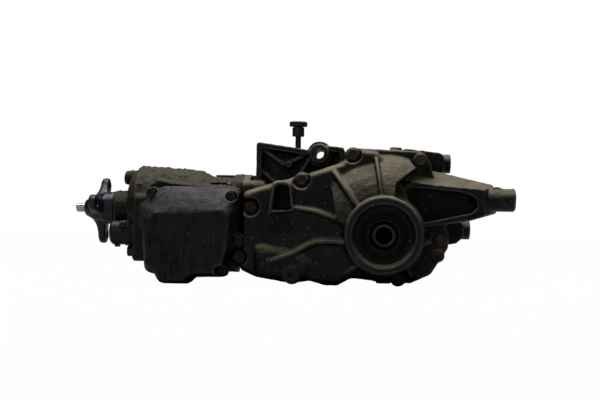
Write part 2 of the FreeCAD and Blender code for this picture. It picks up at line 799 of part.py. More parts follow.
def lattice_bracket():
    """The webbed bracket on top of the carrier, with the top mount eye."""
    inner = inset_corners(BRACKET_OUTLINE, BRACKET_WALL)
    frame = side_prism(BRACKET_OUTLINE, BRACKET_NEAR_Y, BRACKET_FAR_Y)
    web_near = (BRACKET_NEAR_Y + BRACKET_FAR_Y - BRACKET_WEB) / 2.0
    web_far = web_near + BRACKET_WEB
    near_pocket = side_prism(inner, BRACKET_NEAR_Y - 1.0, web_near)
    far_pocket = side_prism(inner, web_far, BRACKET_FAR_Y + 1.0)
    shape = frame.cut([near_pocket, far_pocket])
    eye_x, eye_z = EYE_PLACE
    parts = [shape]
    for x0, z0, x1, z1 in BRACKET_RIBS:
        crest = BRACKET_NEAR_Y + 3.0
        parts.append(rib(x0, z0, x1, z1, BRACKET_RIB_WIDTH, web_near + 1.0, crest, crest))
    parts.append(bar_y(BRACKET_STUD_RADIUS, BRACKET_NEAR_Y, web_near + 1.0, *BRACKET_STUD))
    parts.append(bar_y(EYE_RADIUS, BRACKET_NEAR_Y + 4.0, BRACKET_FAR_Y, eye_x, eye_z))
    parts.append(bar_y(EYE_BOSS_RADIUS, BRACKET_NEAR_Y - EYE_BOSS_PROUD, BRACKET_FAR_Y, eye_x, eye_z))
    bore = bar_y(EYE_BORE_RADIUS, BRACKET_NEAR_Y - 20.0, BRACKET_FAR_Y + 20.0, eye_x, eye_z)
    breather = bar_z(BREATHER_STEM + SEAT_FIT, BREATHER_SEAT - 12.0, BREATHER_SEAT + 20.0, BREATHER_X, BREATHER_Y)
    return fused(parts).cut([bore, breather])


def rear_lugs():
    half = LUG_WIDTH / 2.0
    parts = []
    lugs = ((UPPER_LUG_OUTLINE, UPPER_LUG_Z, UPPER_LUG_END), (LOWER_LUG_OUTLINE, LOWER_LUG_Z, LOWER_LUG_END))
    for outline, z, end in lugs:
        parts.append(side_prism(outline, LUG_Y - half, LUG_Y + half))
        parts.append(bar_x(LUG_BOSS_RADIUS, end - LUG_BOSS_LENGTH, end, LUG_Y, z))
    return parts


def carrier_housing():
    rim_y = PARTING_Y + CARRIER_RIM
    back_inset = CARRIER_INSET + CARRIER_DRAFT
    shell = side_loft(RIM_OUTLINE, rim_y - 1.0, CARRIER_INSET, CARRIER_DEPTH, back_inset)
    boss = output_boss(1.0, BELLY_START, BELLY_END, FAR_FAIRING_END)
    tube = bar_x(TUBE_RADIUS, MATE_X, TUBE_END)
    flange = bar_x(MATE_FLANGE_RADIUS, MATE_X, MATE_X + MATE_FLANGE)
    flange = flange.common(box(MATE_X, MATE_X + MATE_FLANGE, PARTING_Y, 80.0, -60.0, 120.0))
    ears = []
    for y, z in mate_places():
        ears.append(bar_x(MATE_EAR_RADIUS, MATE_X, MATE_X + MATE_EAR_LENGTH, y, z))
    bosses = bolt_columns(BOLT_BOSS_RADIUS, PARTING_Y, PARTING_Y + COVER_BOLT_GRIP + 8.0)
    rim = side_prism(RIM_OUTLINE, PARTING_Y, rim_y)
    pads = []
    for x, y in PAD_PLACES:
        pads.append(box(x - PAD_LENGTH / 2, x + PAD_LENGTH / 2, y - PAD_WIDTH / 2, y + PAD_WIDTH / 2,
                        FLOOR_Z, FLOOR_Z + PAD_HEIGHT))
    top_boss = bar_z(TOP_BOSS_RADIUS, TOP_BOSS_Z - 20.0, TOP_BOSS_Z, TOP_BOSS_X, PARTING_Y + CARRIER_RIM)
    cavity = side_loft(RIM_OUTLINE, PARTING_Y - 1.0, WALL + 5.0, CARRIER_DEPTH - WALL, back_inset + WALL)
    column = BOLT_BOSS_RADIUS + BOLT_COLUMN_WALL
    cavity = cavity.cut(bolt_columns(column, PARTING_Y - 2.0, CARRIER_DEPTH))
    outer = fused([rim, shell, boss, lattice_bracket()] + bosses + rear_lugs()).cut(cavity)
    outer = fused([outer, top_boss] + pads)
    chamber = turned_y([
        (BELLY_START + 4.0, 0.0),
        (BELLY_START + 4.0, CHAMBER_RADIUS),
        (RING_BACK + 2.0, CHAMBER_RADIUS),
        (RING_BACK + 2.0, CHAMBER_RADIUS - 5.0),
        (BEARING_START - 1.0, CHAMBER_RADIUS - 5.0),
        (BEARING_START - 1.0, 0.0),
    ])
    near_room = bar_y(CHAMBER_RADIUS - 6.0, PARTING_Y - 1.0, BELLY_START + 5.0)
    outer = fused([outer, tube, flange] + ears)
    pinion_bore = turned_x([
        (MATE_X - 1.0, 0.0),
        (MATE_X - 1.0, TAIL_BEARING_OUTER + SEAT_FIT),
        (TAIL_BEARING_START + TAIL_BEARING_WIDTH, TAIL_BEARING_OUTER + SEAT_FIT),
        (TAIL_BEARING_START + TAIL_BEARING_WIDTH, TAIL_BEARING_OUTER - 3.0),
        (HEAD_BEARING_END - HEAD_BEARING_WIDTH, HEAD_BEARING_OUTER - 5.0),
        (HEAD_BEARING_END - HEAD_BEARING_WIDTH, HEAD_BEARING_OUTER + SEAT_FIT),
        (TUBE_END + 24.0, HEAD_BEARING_OUTER + SEAT_FIT),
        (TUBE_END + 24.0, 0.0),
    ])
    holes = bolt_columns(BOLT_SHANK + SEAT_FIT, PARTING_Y - 1.0, PARTING_Y + COVER_BOLT_GRIP + 1.0)
    for y, z in mate_places():
        holes.append(bar_x(BOLT_SHANK + SEAT_FIT, MATE_X - 1.0, MATE_X + 22.0, y, z))
    for z, end in ((UPPER_LUG_Z, UPPER_LUG_END), (LOWER_LUG_Z, LOWER_LUG_END)):
        holes.append(bar_x(SLEEVE_RADIUS + SEAT_FIT, end - LUG_BOSS_LENGTH, end + 1.0, LUG_Y, z))
    return tidied(outer.cut([chamber, near_room, pinion_bore, output_bores(1.0)] + holes))


def coupling_housing():
    outer = turned_x([
        (NECK_FRONT, 0.0),
        (NECK_FRONT, NECK_RADIUS - 1.5),
        (NECK_FRONT + 1.5, NECK_RADIUS),
        (BARREL_FRONT, NECK_RADIUS),
        (BARREL_FRONT, BARREL_FACE_RADIUS),
        (BARREL_SHOULDER, BARREL_RADIUS),
        (BARREL_TAPER_START, BARREL_MID_RADIUS),
        (BARREL_TAPER_END, BARREL_REAR_RADIUS),
        (MATE_X, BARREL_REAR_RADIUS),
        (MATE_X, 0.0),
    ])
    sump_wire = rounded_wire(SUMP_OUTLINE, lambda y, z: V(SUMP_START, y, z))
    sump = Part.Face(sump_wire).extrude(V(SUMP_END - SUMP_START, 0, 0))
    foot_x, foot_y = SUMP_FOOT_PLACE
    foot = bar_z(SUMP_FOOT_RADIUS, FLOOR_Z, FLOOR_Z + 40.0, foot_x, foot_y)
    bolt_y, bolt_z = SUMP_BOLT_PLACE
    bolt_boss = bar_x(SUMP_BOLT_BOSS, SUMP_BOLT_FACE, SUMP_START + 20.0, bolt_y, bolt_z)
    motor_boss = bar_x(MOTOR_RADIUS + 3.0, MOTOR_FACE, SUMP_START + 20.0, MOTOR_Y, MOTOR_Z)
    motor_ears = []
    for y, z in motor_screw_places():
        motor_ears.append(bar_x(MOTOR_EAR + 1.5, MOTOR_FACE, SUMP_START + 10.0, y, z))
    top_mount = turned_x([
        (TOP_MOUNT_FRONT, 0.0),
        (TOP_MOUNT_FRONT, TOP_MOUNT_RADIUS - 1.5),
        (TOP_MOUNT_FRONT + 2.0, TOP_MOUNT_RADIUS),
        (TOP_MOUNT_BACK, TOP_MOUNT_RADIUS + 2.0),
        (TOP_MOUNT_BACK, 0.0),
    ], 0.0, TOP_MOUNT_Z)
    half_web = TOP_MOUNT_WEB / 2.0
    web = box(BARREL_FRONT - 1.0, BARREL_SHOULDER, -half_web, half_web, PINION_OFFSET, TOP_MOUNT_Z)
    flange = bar_x(MATE_FLANGE_RADIUS, MATE_X - COUPLING_FLANGE, MATE_X)
    ears = []
    holes = []
    head_room = []
    for y, z in mate_places():
        ears.append(bar_x(MATE_EAR_RADIUS, MATE_X - COUPLING_FLANGE, MATE_X, y, z))
        holes.append(bar_x(BOLT_SHANK + SEAT_FIT, MATE_X - COUPLING_FLANGE - 1.0, MATE_X + 1.0, y, z))
        head_room.append(bar_x(BOLT_FLANGE + 0.6, MATE_X - COUPLING_FLANGE - 30.0, MATE_X - COUPLING_FLANGE, y, z))
    head_room.append(bar_x(BOLT_FLANGE + 0.6, MOTOR_FACE - 1.0, SUMP_BOLT_FACE, bolt_y, bolt_z))
    shelf = box(SUMP_END - 2.0, MATE_X - 1.0, PAD_FACE_Y, PAD_FACE_Y + 14.0, UNIT_SHELF_LOW, UNIT_SHELF_HIGH)
    unit_bosses = []
    for x, z in UNIT_SCREWS:
        unit_bosses.append(bar_y(UNIT_SCREW_BOSS, PAD_FACE_Y, PAD_FACE_Y + UNIT_SCREW_BOSS_LENGTH, x, z))
    guide_feet = []
    for x in (GUIDE_START + 12.0, MATE_X - 8.0):
        guide_feet.append(box(x - 4.0, x + 4.0, GUIDE_Y - 4.0, GUIDE_Y + 4.0,
                              PINION_OFFSET + 20.0, GUIDE_Z - GUIDE_HEIGHT / 2.0))
    body = fused([outer, sump, foot, bolt_boss, motor_boss, top_mount, web, flange, shelf] + motor_ears + guide_feet + unit_bosses)
    body = fused([body.cut(head_room)] + ears)
    inner = DRUM_RADIUS + DRUM_GAP
    clutch_room = turned_x([
        (DRUM_FRONT - DRUM_GAP, 0.0),
        (DRUM_FRONT - DRUM_GAP, inner),
        (PISTON_BACK - PISTON_THICK - 2.0, inner),
        (PISTON_BACK - PISTON_THICK - 2.0, PISTON_OUTER + SHAFT_FIT),
        (PISTON_BACK, PISTON_OUTER + SHAFT_FIT),
        (PISTON_BACK, PISTON_INNER - SHAFT_FIT),
        (PISTON_BACK - PISTON_THICK - 2.0, PISTON_INNER - SHAFT_FIT),
        (PISTON_BACK - PISTON_THICK - 2.0, 0.0),
    ])
    bearing_back = INPUT_BEARING_FRONT + INPUT_BEARING_WIDTH
    neck_bore = turned_x([
        (NECK_FRONT - 1.0, 0.0),
        (NECK_FRONT - 1.0, INPUT_SEAL_OUTER + SEAT_FIT),
        (NECK_FRONT + INPUT_SEAL_WIDTH, INPUT_SEAL_OUTER + SEAT_FIT),
        (NECK_FRONT + INPUT_SEAL_WIDTH, INPUT_SHAFT + 2.0),
        (INPUT_BEARING_FRONT, INPUT_SHAFT + 2.0),
        (INPUT_BEARING_FRONT, INPUT_BEARING_OUTER + SEAT_FIT),
        (bearing_back + 3.0, INPUT_BEARING_OUTER + SEAT_FIT),
        (bearing_back + 3.0, 0.0),
    ])
    shaft_hole = bar_x(PINION_NOSE + RUNNING_GAP, PISTON_BACK - 20.0, CENTRE_WALL_BACK + 1.0)
    rear_room = bar_x(BARREL_REAR_RADIUS - BARREL_WALL, CENTRE_WALL_BACK, MATE_X + 1.0)
    pump_back = MOTOR_FACE + PUMP_END + 1.0
    pump_room = bar_x(PUMP_WHEEL + RUNNING_GAP, MOTOR_FACE - 1.0, pump_back, MOTOR_Y, MOTOR_Z)
    mount_hole = bar_x(TOP_MOUNT_HOLE, TOP_MOUNT_FRONT - 1.0, TOP_MOUNT_FRONT + TOP_MOUNT_HOLE_DEPTH, 0.0, TOP_MOUNT_Z)
    bolt_hole = bar_x(BOLT_SHANK + SEAT_FIT, SUMP_BOLT_FACE - 1.0, SUMP_BOLT_FACE + 24.0, bolt_y, bolt_z)
    for y, z in motor_screw_places():
        holes.append(bar_x(UNIT_SCREW_SHANK + SEAT_FIT, MOTOR_FACE - 1.0, MOTOR_FACE + 13.0, y, z))
    for x, z in UNIT_SCREWS:
        holes.append(bar_y(UNIT_SCREW_SHANK + SEAT_FIT, PAD_FACE_Y - 1.0, PAD_FACE_Y + UNIT_SCREW_GRIP, x, z))
    oil_wire = rounded_wire(inset_corners(SUMP_OUTLINE, SUMP_WALL), lambda y, z: V(SUMP_START + 24.0, y, z))
    oil_room = Part.Face(oil_wire).extrude(V(SUMP_END - SUMP_START - 34.0, 0, 0))
    screw_columns = [bar_y(UNIT_SCREW_BOSS + 2.0, PAD_FACE_Y, PAD_FACE_Y + 18.0, x, z) for x, z in UNIT_SCREWS]
    centre_wall = bar_x(BARREL_REAR_RADIUS, PISTON_BACK - PISTON_THICK - 2.0, SUMP_END)
    oil_room = oil_room.cut(screw_columns + [centre_wall])
    cuts = [clutch_room, oil_room, neck_bore, shaft_hole, rear_room, pump_room, mount_hole, bolt_hole] + holes
    return tidied(body.cut(cuts))


def motor_screw_places():
    places = []
    for angle in MOTOR_SCREW_ANGLES:
        turn = math.radians(angle)
        reach = MOTOR_SCREW_REACH
        places.append((MOTOR_Y + reach * math.cos(turn), MOTOR_Z + reach * math.sin(turn)))
    return places


def control_unit():
    base = side_prism(UNIT_OUTLINE, PAD_FACE_Y - UNIT_FLANGE, PAD_FACE_Y)
    wires = [side_wire(UNIT_OUTLINE, PAD_FACE_Y - UNIT_FLANGE), side_wire(UNIT_FACE, UNIT_FRONT)]
    body = Part.makeLoft(wires, True, True)
    seats = []
    holes = []
    for x, z in UNIT_SCREWS:
        seats.append(bar_y(UNIT_SCREW_EAR, UNIT_FRONT - 1.0, PAD_FACE_Y - UNIT_FLANGE - 6.0, x, z))
        holes.append(bar_y(UNIT_SCREW_SHANK + SEAT_FIT, UNIT_FRONT, PAD_FACE_Y + 1.0, x, z))
    return tidied(fused([base, body]).cut(seats + holes))


def cap_screw(shank, head, height, grip):
    """A round-head screw standing along +Z with its seat at the origin."""
    socket = many_sided(head * 0.5, height, 6)
    socket.translate(V(0, 0, height * 0.5))
    body = Part.makeCylinder(head, height).fuse(Part.makeCylinder(shank, grip, V(0, 0, -grip)))
    return body.removeSplitter().cut(socket)


# Input side


def input_flange():
    parts = [turned_x([
        (SPIDER_FRONT - SPIDER_NOSE, 0.0),
        (SPIDER_FRONT - SPIDER_NOSE, SPIDER_NOSE_RADIUS),
        (SPIDER_FRONT, SPIDER_CORE),
        (SPIDER_BACK, SPIDER_CORE),
        (SPIDER_BACK - 4.0, HUB_RADIUS - 1.0),
        (HUB_BACK, HUB_RADIUS),
        (HUB_BACK, 0.0),
    ])]
    holes = []
    for i in range(EAR_COUNT):
        turn = math.radians(EAR_FIRST_ANGLE + 360.0 * i / EAR_COUNT)
        cy, cz = math.cos(turn), math.sin(turn)
        y = EAR_CIRCLE * cy
        z = PINION_OFFSET + EAR_CIRCLE * cz
        root = SPIDER_CORE * 0.9
        arm = Part.Face(Part.makePolygon([
            V(SPIDER_FRONT, -cz * root, PINION_OFFSET + cy * root),
            V(SPIDER_FRONT, y - cz * EAR_RADIUS, z + cy * EAR_RADIUS),
            V(SPIDER_FRONT, y + cz * EAR_RADIUS, z - cy * EAR_RADIUS),
            V(SPIDER_FRONT, cz * root, PINION_OFFSET - cy * root),
            V(SPIDER_FRONT, -cz * root, PINION_OFFSET + cy * root),
        ])).extrude(V(SPIDER_BACK - SPIDER_FRONT, 0, 0))
        parts.append(arm)
        parts.append(bar_x(EAR_RADIUS, SPIDER_FRONT, SPIDER_BACK, y, z))
        holes.append(bar_x(EAR_HOLE, SPIDER_FRONT - 1.0, SPIDER_BACK + 1.0, y, z))
    bore = bar_x(INPUT_SHAFT + SEAT_FIT, SPIDER_FRONT + 1.0, HUB_BACK + 1.0)
    nose = bar_x(PILOT_RADIUS - PILOT_STEP + SEAT_FIT, SPIDER_FRONT - SPIDER_NOSE - 1.0, SPIDER_FRONT + 1.0)
    return fused(parts).cut(holes + [bore, nose])


def dust_shield():
    back = HUB_BACK + SHIELD_THICK
    return turned_x([
        (HUB_BACK + 0.1, INPUT_SHAFT + SEAT_FIT),
        (HUB_BACK + 0.1, SHIELD_RADIUS),
        (back - 0.8, SHIELD_RADIUS),
        (back - 0.8, INPUT_SHAFT + SEAT_FIT),
    ])


def input_shaft():
    """Shaft with the pilot at its front end and the drum's floor at its back end."""
    return turned_x([
        (PILOT_FRONT, 0.0),
        (PILOT_FRONT, PILOT_RADIUS - 1.5),
        (PILOT_FRONT + 1.5, PILOT_RADIUS),
        (SPIDER_FRONT - SPIDER_NOSE, PILOT_RADIUS),
        (SPIDER_FRONT - SPIDER_NOSE, PILOT_RADIUS - PILOT_STEP),
        (SPIDER_FRONT + 1.0, PILOT_RADIUS - PILOT_STEP),
        (SPIDER_FRONT + 1.0, INPUT_SHAFT),
        (DRUM_FRONT - 2.0, INPUT_SHAFT),
        (DRUM_FRONT - 2.0, INPUT_SHAFT + 6.0),
        (DRUM_FRONT + DRUM_FLOOR, INPUT_SHAFT + 6.0),
        (DRUM_FRONT + DRUM_FLOOR, 0.0),
    ])


def tab_boxes(radius, reach, width, x0, x1):
    """Square tabs round the input axis, from inside the radius out to radius plus reach."""
    tabs = []
    for i in range(TAB_COUNT):
        tab = Part.makeBox(x1 - x0, width, reach + 4.0, V(x0, -width / 2.0, radius - 4.0))
        tab.rotate(V(0, 0, 0), V(1, 0, 0), 360.0 * i / TAB_COUNT)
        tab.translate(V(0, 0, PINION_OFFSET))
        tabs.append(tab)
    return tabs


def clutch_drum():
    drum_inner = DRUM_RADIUS - DRUM_WALL
    cup = turned_x([
        (DRUM_FRONT, INPUT_SHAFT + 6.0 + SEAT_FIT),
        (DRUM_FRONT, DRUM_RADIUS),
        (DRUM_BACK, DRUM_RADIUS),
        (DRUM_BACK, drum_inner),
        (DRUM_FRONT + DRUM_FLOOR, drum_inner),
        (DRUM_FRONT + DRUM_FLOOR, INPUT_SHAFT + 6.0 + SEAT_FIT),
    ])
    reach = PLATE_OUTER + TAB_REACH + RUNNING_GAP - drum_inner
    return cup.cut(tab_boxes(drum_inner, reach, TAB_WIDTH + 2.0 * RUNNING_GAP, DRUM_FRONT + DRUM_FLOOR, DRUM_BACK + 1.0))


def outer_plates():
    plates = []
    pitch = 2.0 * (PLATE_THICK + PLATE_GAP)
    for i in range(PLATE_COUNT):
        x = PLATE_FRONT + i * pitch
        ring = bar_x(PLATE_OUTER, x, x + PLATE_THICK)
        ring = ring.fuse(tab_boxes(PLATE_OUTER, TAB_REACH, TAB_WIDTH, x, x + PLATE_THICK))
        plates.append(ring.removeSplitter().cut(bar_x(PLATE_INNER, x - 1.0, x + PLATE_THICK + 1.0)))
    return plates


def inner_plates():
    plates = []
    pitch = 2.0 * (PLATE_THICK + PLATE_GAP)
    for i in range(PLATE_COUNT):
        x = PLATE_FRONT + PLATE_THICK + PLATE_GAP + i * pitch
        ring = bar_x(PLATE_OUTER - 1.5, x, x + PLATE_THICK)
        ring = ring.cut(bar_x(HUB_OUTER + RUNNING_GAP, x - 1.0, x + PLATE_THICK + 1.0))
        tabs = tab_boxes(HUB_OUTER + 1.0, 0.0, TAB_WIDTH, x, x + PLATE_THICK)
        inside = bar_x(HUB_OUTER - TAB_REACH, x - 1.0, x + PLATE_THICK + 1.0)
        plates.append(ring.fuse([tab.cut(inside) for tab in tabs]).removeSplitter())
    return plates


def clutch_hub():
    sleeve = turned_x([
        (HUB_PLATE_FRONT, PINION_NOSE + SEAT_FIT),
        (HUB_PLATE_FRONT, HUB_OUTER),
        (HUB_PLATE_BACK, HUB_OUTER),
        (HUB_PLATE_BACK, HUB_OUTER - HUB_WALL - 3.0),
        (HUB_PLATE_FRONT + HUB_DISC, HUB_OUTER - HUB_WALL - 3.0),
        (HUB_PLATE_FRONT + HUB_DISC, PINION_NOSE + SEAT_FIT),
    ])
    slots = []
    for tab in tab_boxes(HUB_OUTER, 2.0, TAB_WIDTH + 2.0 * RUNNING_GAP, PLATE_FRONT, HUB_PLATE_BACK + 1.0):
        slots.append(tab.cut(bar_x(HUB_OUTER - TAB_REACH - RUNNING_GAP, PLATE_FRONT - 1.0, HUB_PLATE_BACK + 2.0)))
    return sleeve.cut(slots)


def clutch_piston():
    front = PISTON_BACK - PISTON_THICK
    return turned_x([
        (front, PISTON_INNER + 6.0),
        (front, PISTON_OUTER - 4.0),
        (front + 3.0, PISTON_OUTER - 4.0),
        (front + 3.0, PISTON_OUTER),
        (PISTON_BACK - 0.2, PISTON_OUTER),
        (PISTON_BACK - 0.2, PISTON_INNER),
        (front + 3.0, PISTON_INNER),
        (front + 3.0, PISTON_INNER + 6.0),
    ])


def pressure_plate():
    """The thick last plate that the piston presses on, driven by the drum."""
    front = PLATE_FRONT + 2.0 * PLATE_COUNT * (PLATE_THICK + PLATE_GAP)
    back = PISTON_BACK - PISTON_THICK - PISTON_TRAVEL - 1.0
    ring = bar_x(PLATE_OUTER, front, back)
    ring = ring.fuse(tab_boxes(PLATE_OUTER, TAB_REACH, TAB_WIDTH, front, DRUM_BACK)).removeSplitter()
    return ring.cut(bar_x(PLATE_INNER, front - 1.0, back + 1.0))


# Bearings


def taper_bearing(outer, inner, width, origin, direction):
    """Cup, cone and rollers, modelled along +Z with the wide side at the origin, then placed."""
    slope = math.tan(math.radians(TAPER_ANGLE))
    middle = (outer + inner) / 2.0
    roller = (outer - inner) * 0.19
    cup_wide = middle + roller + RUNNING_GAP + slope * width / 2.0
    cup_narrow = middle + roller + RUNNING_GAP - slope * width / 2.0
    cup = turned_z([(0.0, cup_wide), (0.0, outer), (width, outer), (width, cup_narrow)])
    cone_wide = middle - roller + slope * width / 2.0
    cone_narrow = middle - roller - slope * width / 2.0
    cone = turned_z([(0.0, inner), (0.0, cone_wide), (width, cone_narrow), (width, inner)])
    length = width * 0.78
    blank = many_sided(roller, length, ROLLER_SIDES)
    rollers = []
    for i in range(ROLLER_COUNT):
        turn = math.tau * i / ROLLER_COUNT
        start = middle + slope * length / 2.0
        foot = V(start * math.cos(turn), start * math.sin(turn), (width - length) / 2.0)
        lean = V(-slope * math.cos(turn), -slope * math.sin(turn), 1.0)
        rollers.append(stood_along(blank, foot, lean))
    place = FreeCAD.Placement(origin, FreeCAD.Rotation(V(0, 0, 1), direction))
    placed = []
    for shape in (cup, Part.makeCompound([cone] + [r.common(r) for r in rollers])):
        shape = shape.copy()
        shape.Placement = place.multiply(shape.Placement)
        placed.append(shape)
    return placed


# Hypoid pair


def mesh_point():
    """The pitch point and the shared tooth direction of the ring gear and the pinion.

    Both teeth must lie along the sliding velocity there: the velocity of the ring
    gear about +Y less the velocity of the pinion about its own axis along +X.
    """
    ratio = RING_TEETH / PINION_TEETH
    above = PINION_OFFSET - MESH_HEIGHT
    along = math.sqrt(MESH_RADIUS ** 2 - MESH_HEIGHT ** 2)
    root = math.sqrt(along ** 2 - 4.0 * (ratio * above) ** 2)
    y = (along + root) / (2.0 * ratio)
    point = V(-along, y, MESH_HEIGHT)
    slide = V(MESH_HEIGHT, -ratio * above, along - ratio * y)
    slide.normalize()
    radial = V(0, y, -above)
    radial.normalize()
    across = radial - slide * radial.dot(slide)
    across.normalize()
    return point, slide, across


def pinion_cone():
    """Pitch radius at the mesh point, and how much it grows per millimetre towards the front."""
    point, slide, across = mesh_point()
    above = PINION_OFFSET - MESH_HEIGHT
    radius = math.hypot(point.y, above)
    inward = (slide.y * point.y - slide.z * above) / radius
    return point.x, radius, -inward / slide.x


def pinion_section(x, extra):
    """The toothed outline of the pinion at one station along its axis."""
    mesh_x, mesh_radius, growth = pinion_cone()
    radius = mesh_radius + growth * (mesh_x - x)
    scale = radius / mesh_radius
    tip = radius + TOOTH_ADDENDUM * scale
    root = radius - TOOTH_DEDENDUM * scale
    point, slide, across = mesh_point()
    phase = math.atan2(point.z - PINION_OFFSET, point.y)
    pitch = math.tau / PINION_TEETH
    half = pitch / 4.0 - TOOTH_BACKLASH * scale / (4.0 * radius)
    lean = math.tan(math.radians(FLANK_ANGLE))
    half_tip = half - TOOTH_ADDENDUM * scale * lean / radius * 1.25
    half_root = half + TOOTH_DEDENDUM * scale * lean / radius * 0.8
    points = []
    for i in range(PINION_TEETH):
        middle = phase + (i + 0.5) * pitch
        for reach, turn in ((root, -half_root), (radius, -half), (tip, -half_tip),
                            (tip, half_tip), (radius, half), (root, half_root)):
            angle = middle + turn
            points.append(V(x + extra, reach * math.cos(angle), PINION_OFFSET + reach * math.sin(angle)))
    return Part.makePolygon(points + [points[0]])


def pinion_shaft():
    """The pinion in one piece with its shaft, which runs forward to the clutch hub."""
    mesh_x, mesh_radius, growth = pinion_cone()
    heel = mesh_x - PINION_HEEL
    toe = mesh_x + PINION_TOE
    head = Part.makeLoft([pinion_section(heel, 0.0), pinion_section(toe, 0.0)], True, True)
    back = heel - 0.5
    shaft = turned_x([
        (HUB_PLATE_FRONT, 0.0),
        (HUB_PLATE_FRONT, PINION_NOSE),
        (TAIL_BEARING_START - PINION_NUT_THICK - 6.0, PINION_NOSE),
        (TAIL_BEARING_START - PINION_NUT_THICK - 6.0, PINION_TAIL),
        (TAIL_BEARING_START + TAIL_BEARING_WIDTH, PINION_TAIL),
        (TAIL_BEARING_START + TAIL_BEARING_WIDTH, PINION_TAIL + 2.0),
        (TAIL_BEARING_START + TAIL_BEARING_WIDTH + 6.0, PINION_TAIL + 2.0),
        (TAIL_BEARING_START + TAIL_BEARING_WIDTH + 6.0, PINION_SHAFT),
        (HEAD_BEARING_END, PINION_SHAFT),
        (HEAD_BEARING_END, PINION_SHAFT + 6.0),
        (back, PINION_SHAFT + 8.0),
        (heel + 1.0, PINION_SHAFT + 8.0),
        (heel + 1.0, 0.0),
    ])
    return fused([head, shaft])


def ring_gear():
    """A hypoid ring gear: a coned blank with straight teeth set askew, as the pinion needs them."""
    point, slide, across = mesh_point()
    side = slide.cross(across)
    side.normalize()
    in_plane = math.hypot(point.x, point.z)
    outward = (slide.x * point.x + slide.z * point.z) / in_plane
    cone = slide.y / outward

    def face_y(radius, depth):
        return point.y + (radius - in_plane) * cone + depth

    blank = turned_y([
        (face_y(RING_INNER, TOOTH_DEDENDUM), RING_INNER),
        (face_y(RING_OUTER, TOOTH_DEDENDUM), RING_OUTER),
        (RING_BACK, RING_OUTER),
        (RING_BACK, RING_INNER),
    ])
    skew = slide.x * point.z / in_plane - slide.z * point.x / in_plane
    lines = []
    for reach in (-14.0, 16.0):
        middle = point + slide * reach
        scale = math.hypot(middle.x, middle.z) / in_plane
        lines.append((middle, scale))
    pitch = math.tau / RING_TEETH
    spiral = math.sqrt(max(0.0, 1.0 - skew ** 2))
    normal_pitch = pitch * in_plane * spiral
    lean = math.tan(math.radians(FLANK_ANGLE))
    sections = []
    for middle, scale in lines:
        half = normal_pitch * scale / 4.0 - TOOTH_BACKLASH / 4.0
        corners = []
        for height, sign in ((-TOOTH_ADDENDUM, -1), (TOOTH_DEDENDUM + 1.5, -1),
                             (TOOTH_DEDENDUM + 1.5, 1), (-TOOTH_ADDENDUM, 1)):
            width = half + height * lean
            corners.append(middle + across * height + side * (sign * width))
        sections.append(Part.makePolygon(corners + [corners[0]]))
    tooth = Part.makeLoft(sections, True, True)
    room = turned_y([
        (face_y(RING_INNER, -12.0), RING_INNER),
        (face_y(RING_OUTER, -12.0), RING_OUTER),
        (RING_BACK - 2.0, RING_OUTER),
        (RING_BACK - 2.0, RING_INNER),
    ])
    tooth = tooth.common(room)
    teeth = []
    for i in range(RING_TEETH):
        copy = tooth.copy()
        copy.rotate(V(0, 0, 0), V(0, 1, 0), 360.0 * i / RING_TEETH)
        teeth.append(copy)
    holes = []
    for x, z in ring_bolt_places():
        holes.append(bar_y(RING_BOLT_SHANK + SEAT_FIT, RING_BACK - 9.0, RING_BACK + 1.0, x, z))
    return blank.fuse(teeth).removeSplitter().cut(holes)


def ring_bolt_places():
    places = []
    for i in range(RING_BOLTS):
        turn = math.tau * (i + 0.5) / RING_BOLTS
        places.append((RING_BOLT_CIRCLE * math.cos(turn), RING_BOLT_CIRCLE * math.sin(turn)))
    return places


def ring_bolts():
    bolts = []
    seat = RING_BACK + CASE_FLANGE
    grip = CASE_FLANGE + 8.0
    head = many_sided(RING_BOLT_HEAD, RING_BOLT_HEIGHT, 6)
    bolt = fused([head, Part.makeCylinder(RING_BOLT_SHANK, grip, V(0, 0, -grip))])
    for x, z in ring_bolt_places():
        bolts.append(stood_along(bolt, V(x, seat, z), V(0, 1, 0)))
    return bolts


def differential_case():
    """One-piece case: a drum with two windows, journals for the bearings and the ring gear's flange."""
    end = BEARING_START + BEARING_WIDTH
    journal = BEARING_INNER
    outer = turned_y([
        (-end, 0.0),
        (-end, journal),
        (-BEARING_START, journal),
        (-BEARING_START, journal + 4.0),
        (-CASE_HALF - 8.0, journal + 6.0),
        (-CASE_HALF, CASE_RADIUS),
        (RING_BACK - 14.0, CASE_RADIUS),
        (RING_BACK, RING_INNER - 1.0),
        (RING_BACK, CASE_FLANGE_RADIUS),
        (RING_BACK + CASE_FLANGE, CASE_FLANGE_RADIUS),
        (RING_BACK + CASE_FLANGE, RING_BOLT_CIRCLE - 14.0),
        (BEARING_START, journal + 4.0),
        (BEARING_START, journal),
        (end, journal),
        (end, 0.0),
    ])
    room = bar_y(CASE_BORE, -CASE_HALF + 4.0, CASE_HALF - 4.0)
    shaft_room = bar_y(SIDE_HUB_RADIUS + SHAFT_FIT, -end - 1.0, end + 1.0)
    window = box(-60.0, 60.0, -CASE_WINDOW / 2.0, CASE_WINDOW / 2.0, -CASE_WINDOW / 2.0, CASE_WINDOW / 2.0)
    pin_hole = bar_z(CROSS_PIN + SEAT_FIT, -60.0, 60.0, 0.0, 0.0)
    holes = []
    for x, z in ring_bolt_places():
        holes.append(bar_y(RING_BOLT_SHANK + SEAT_FIT, RING_BACK - 1.0, RING_BACK + CASE_FLANGE + 1.0, x, z))
    return tidied(outer.cut([room, shaft_room, window, pin_hole] + holes))


# Bevel gears of the differential


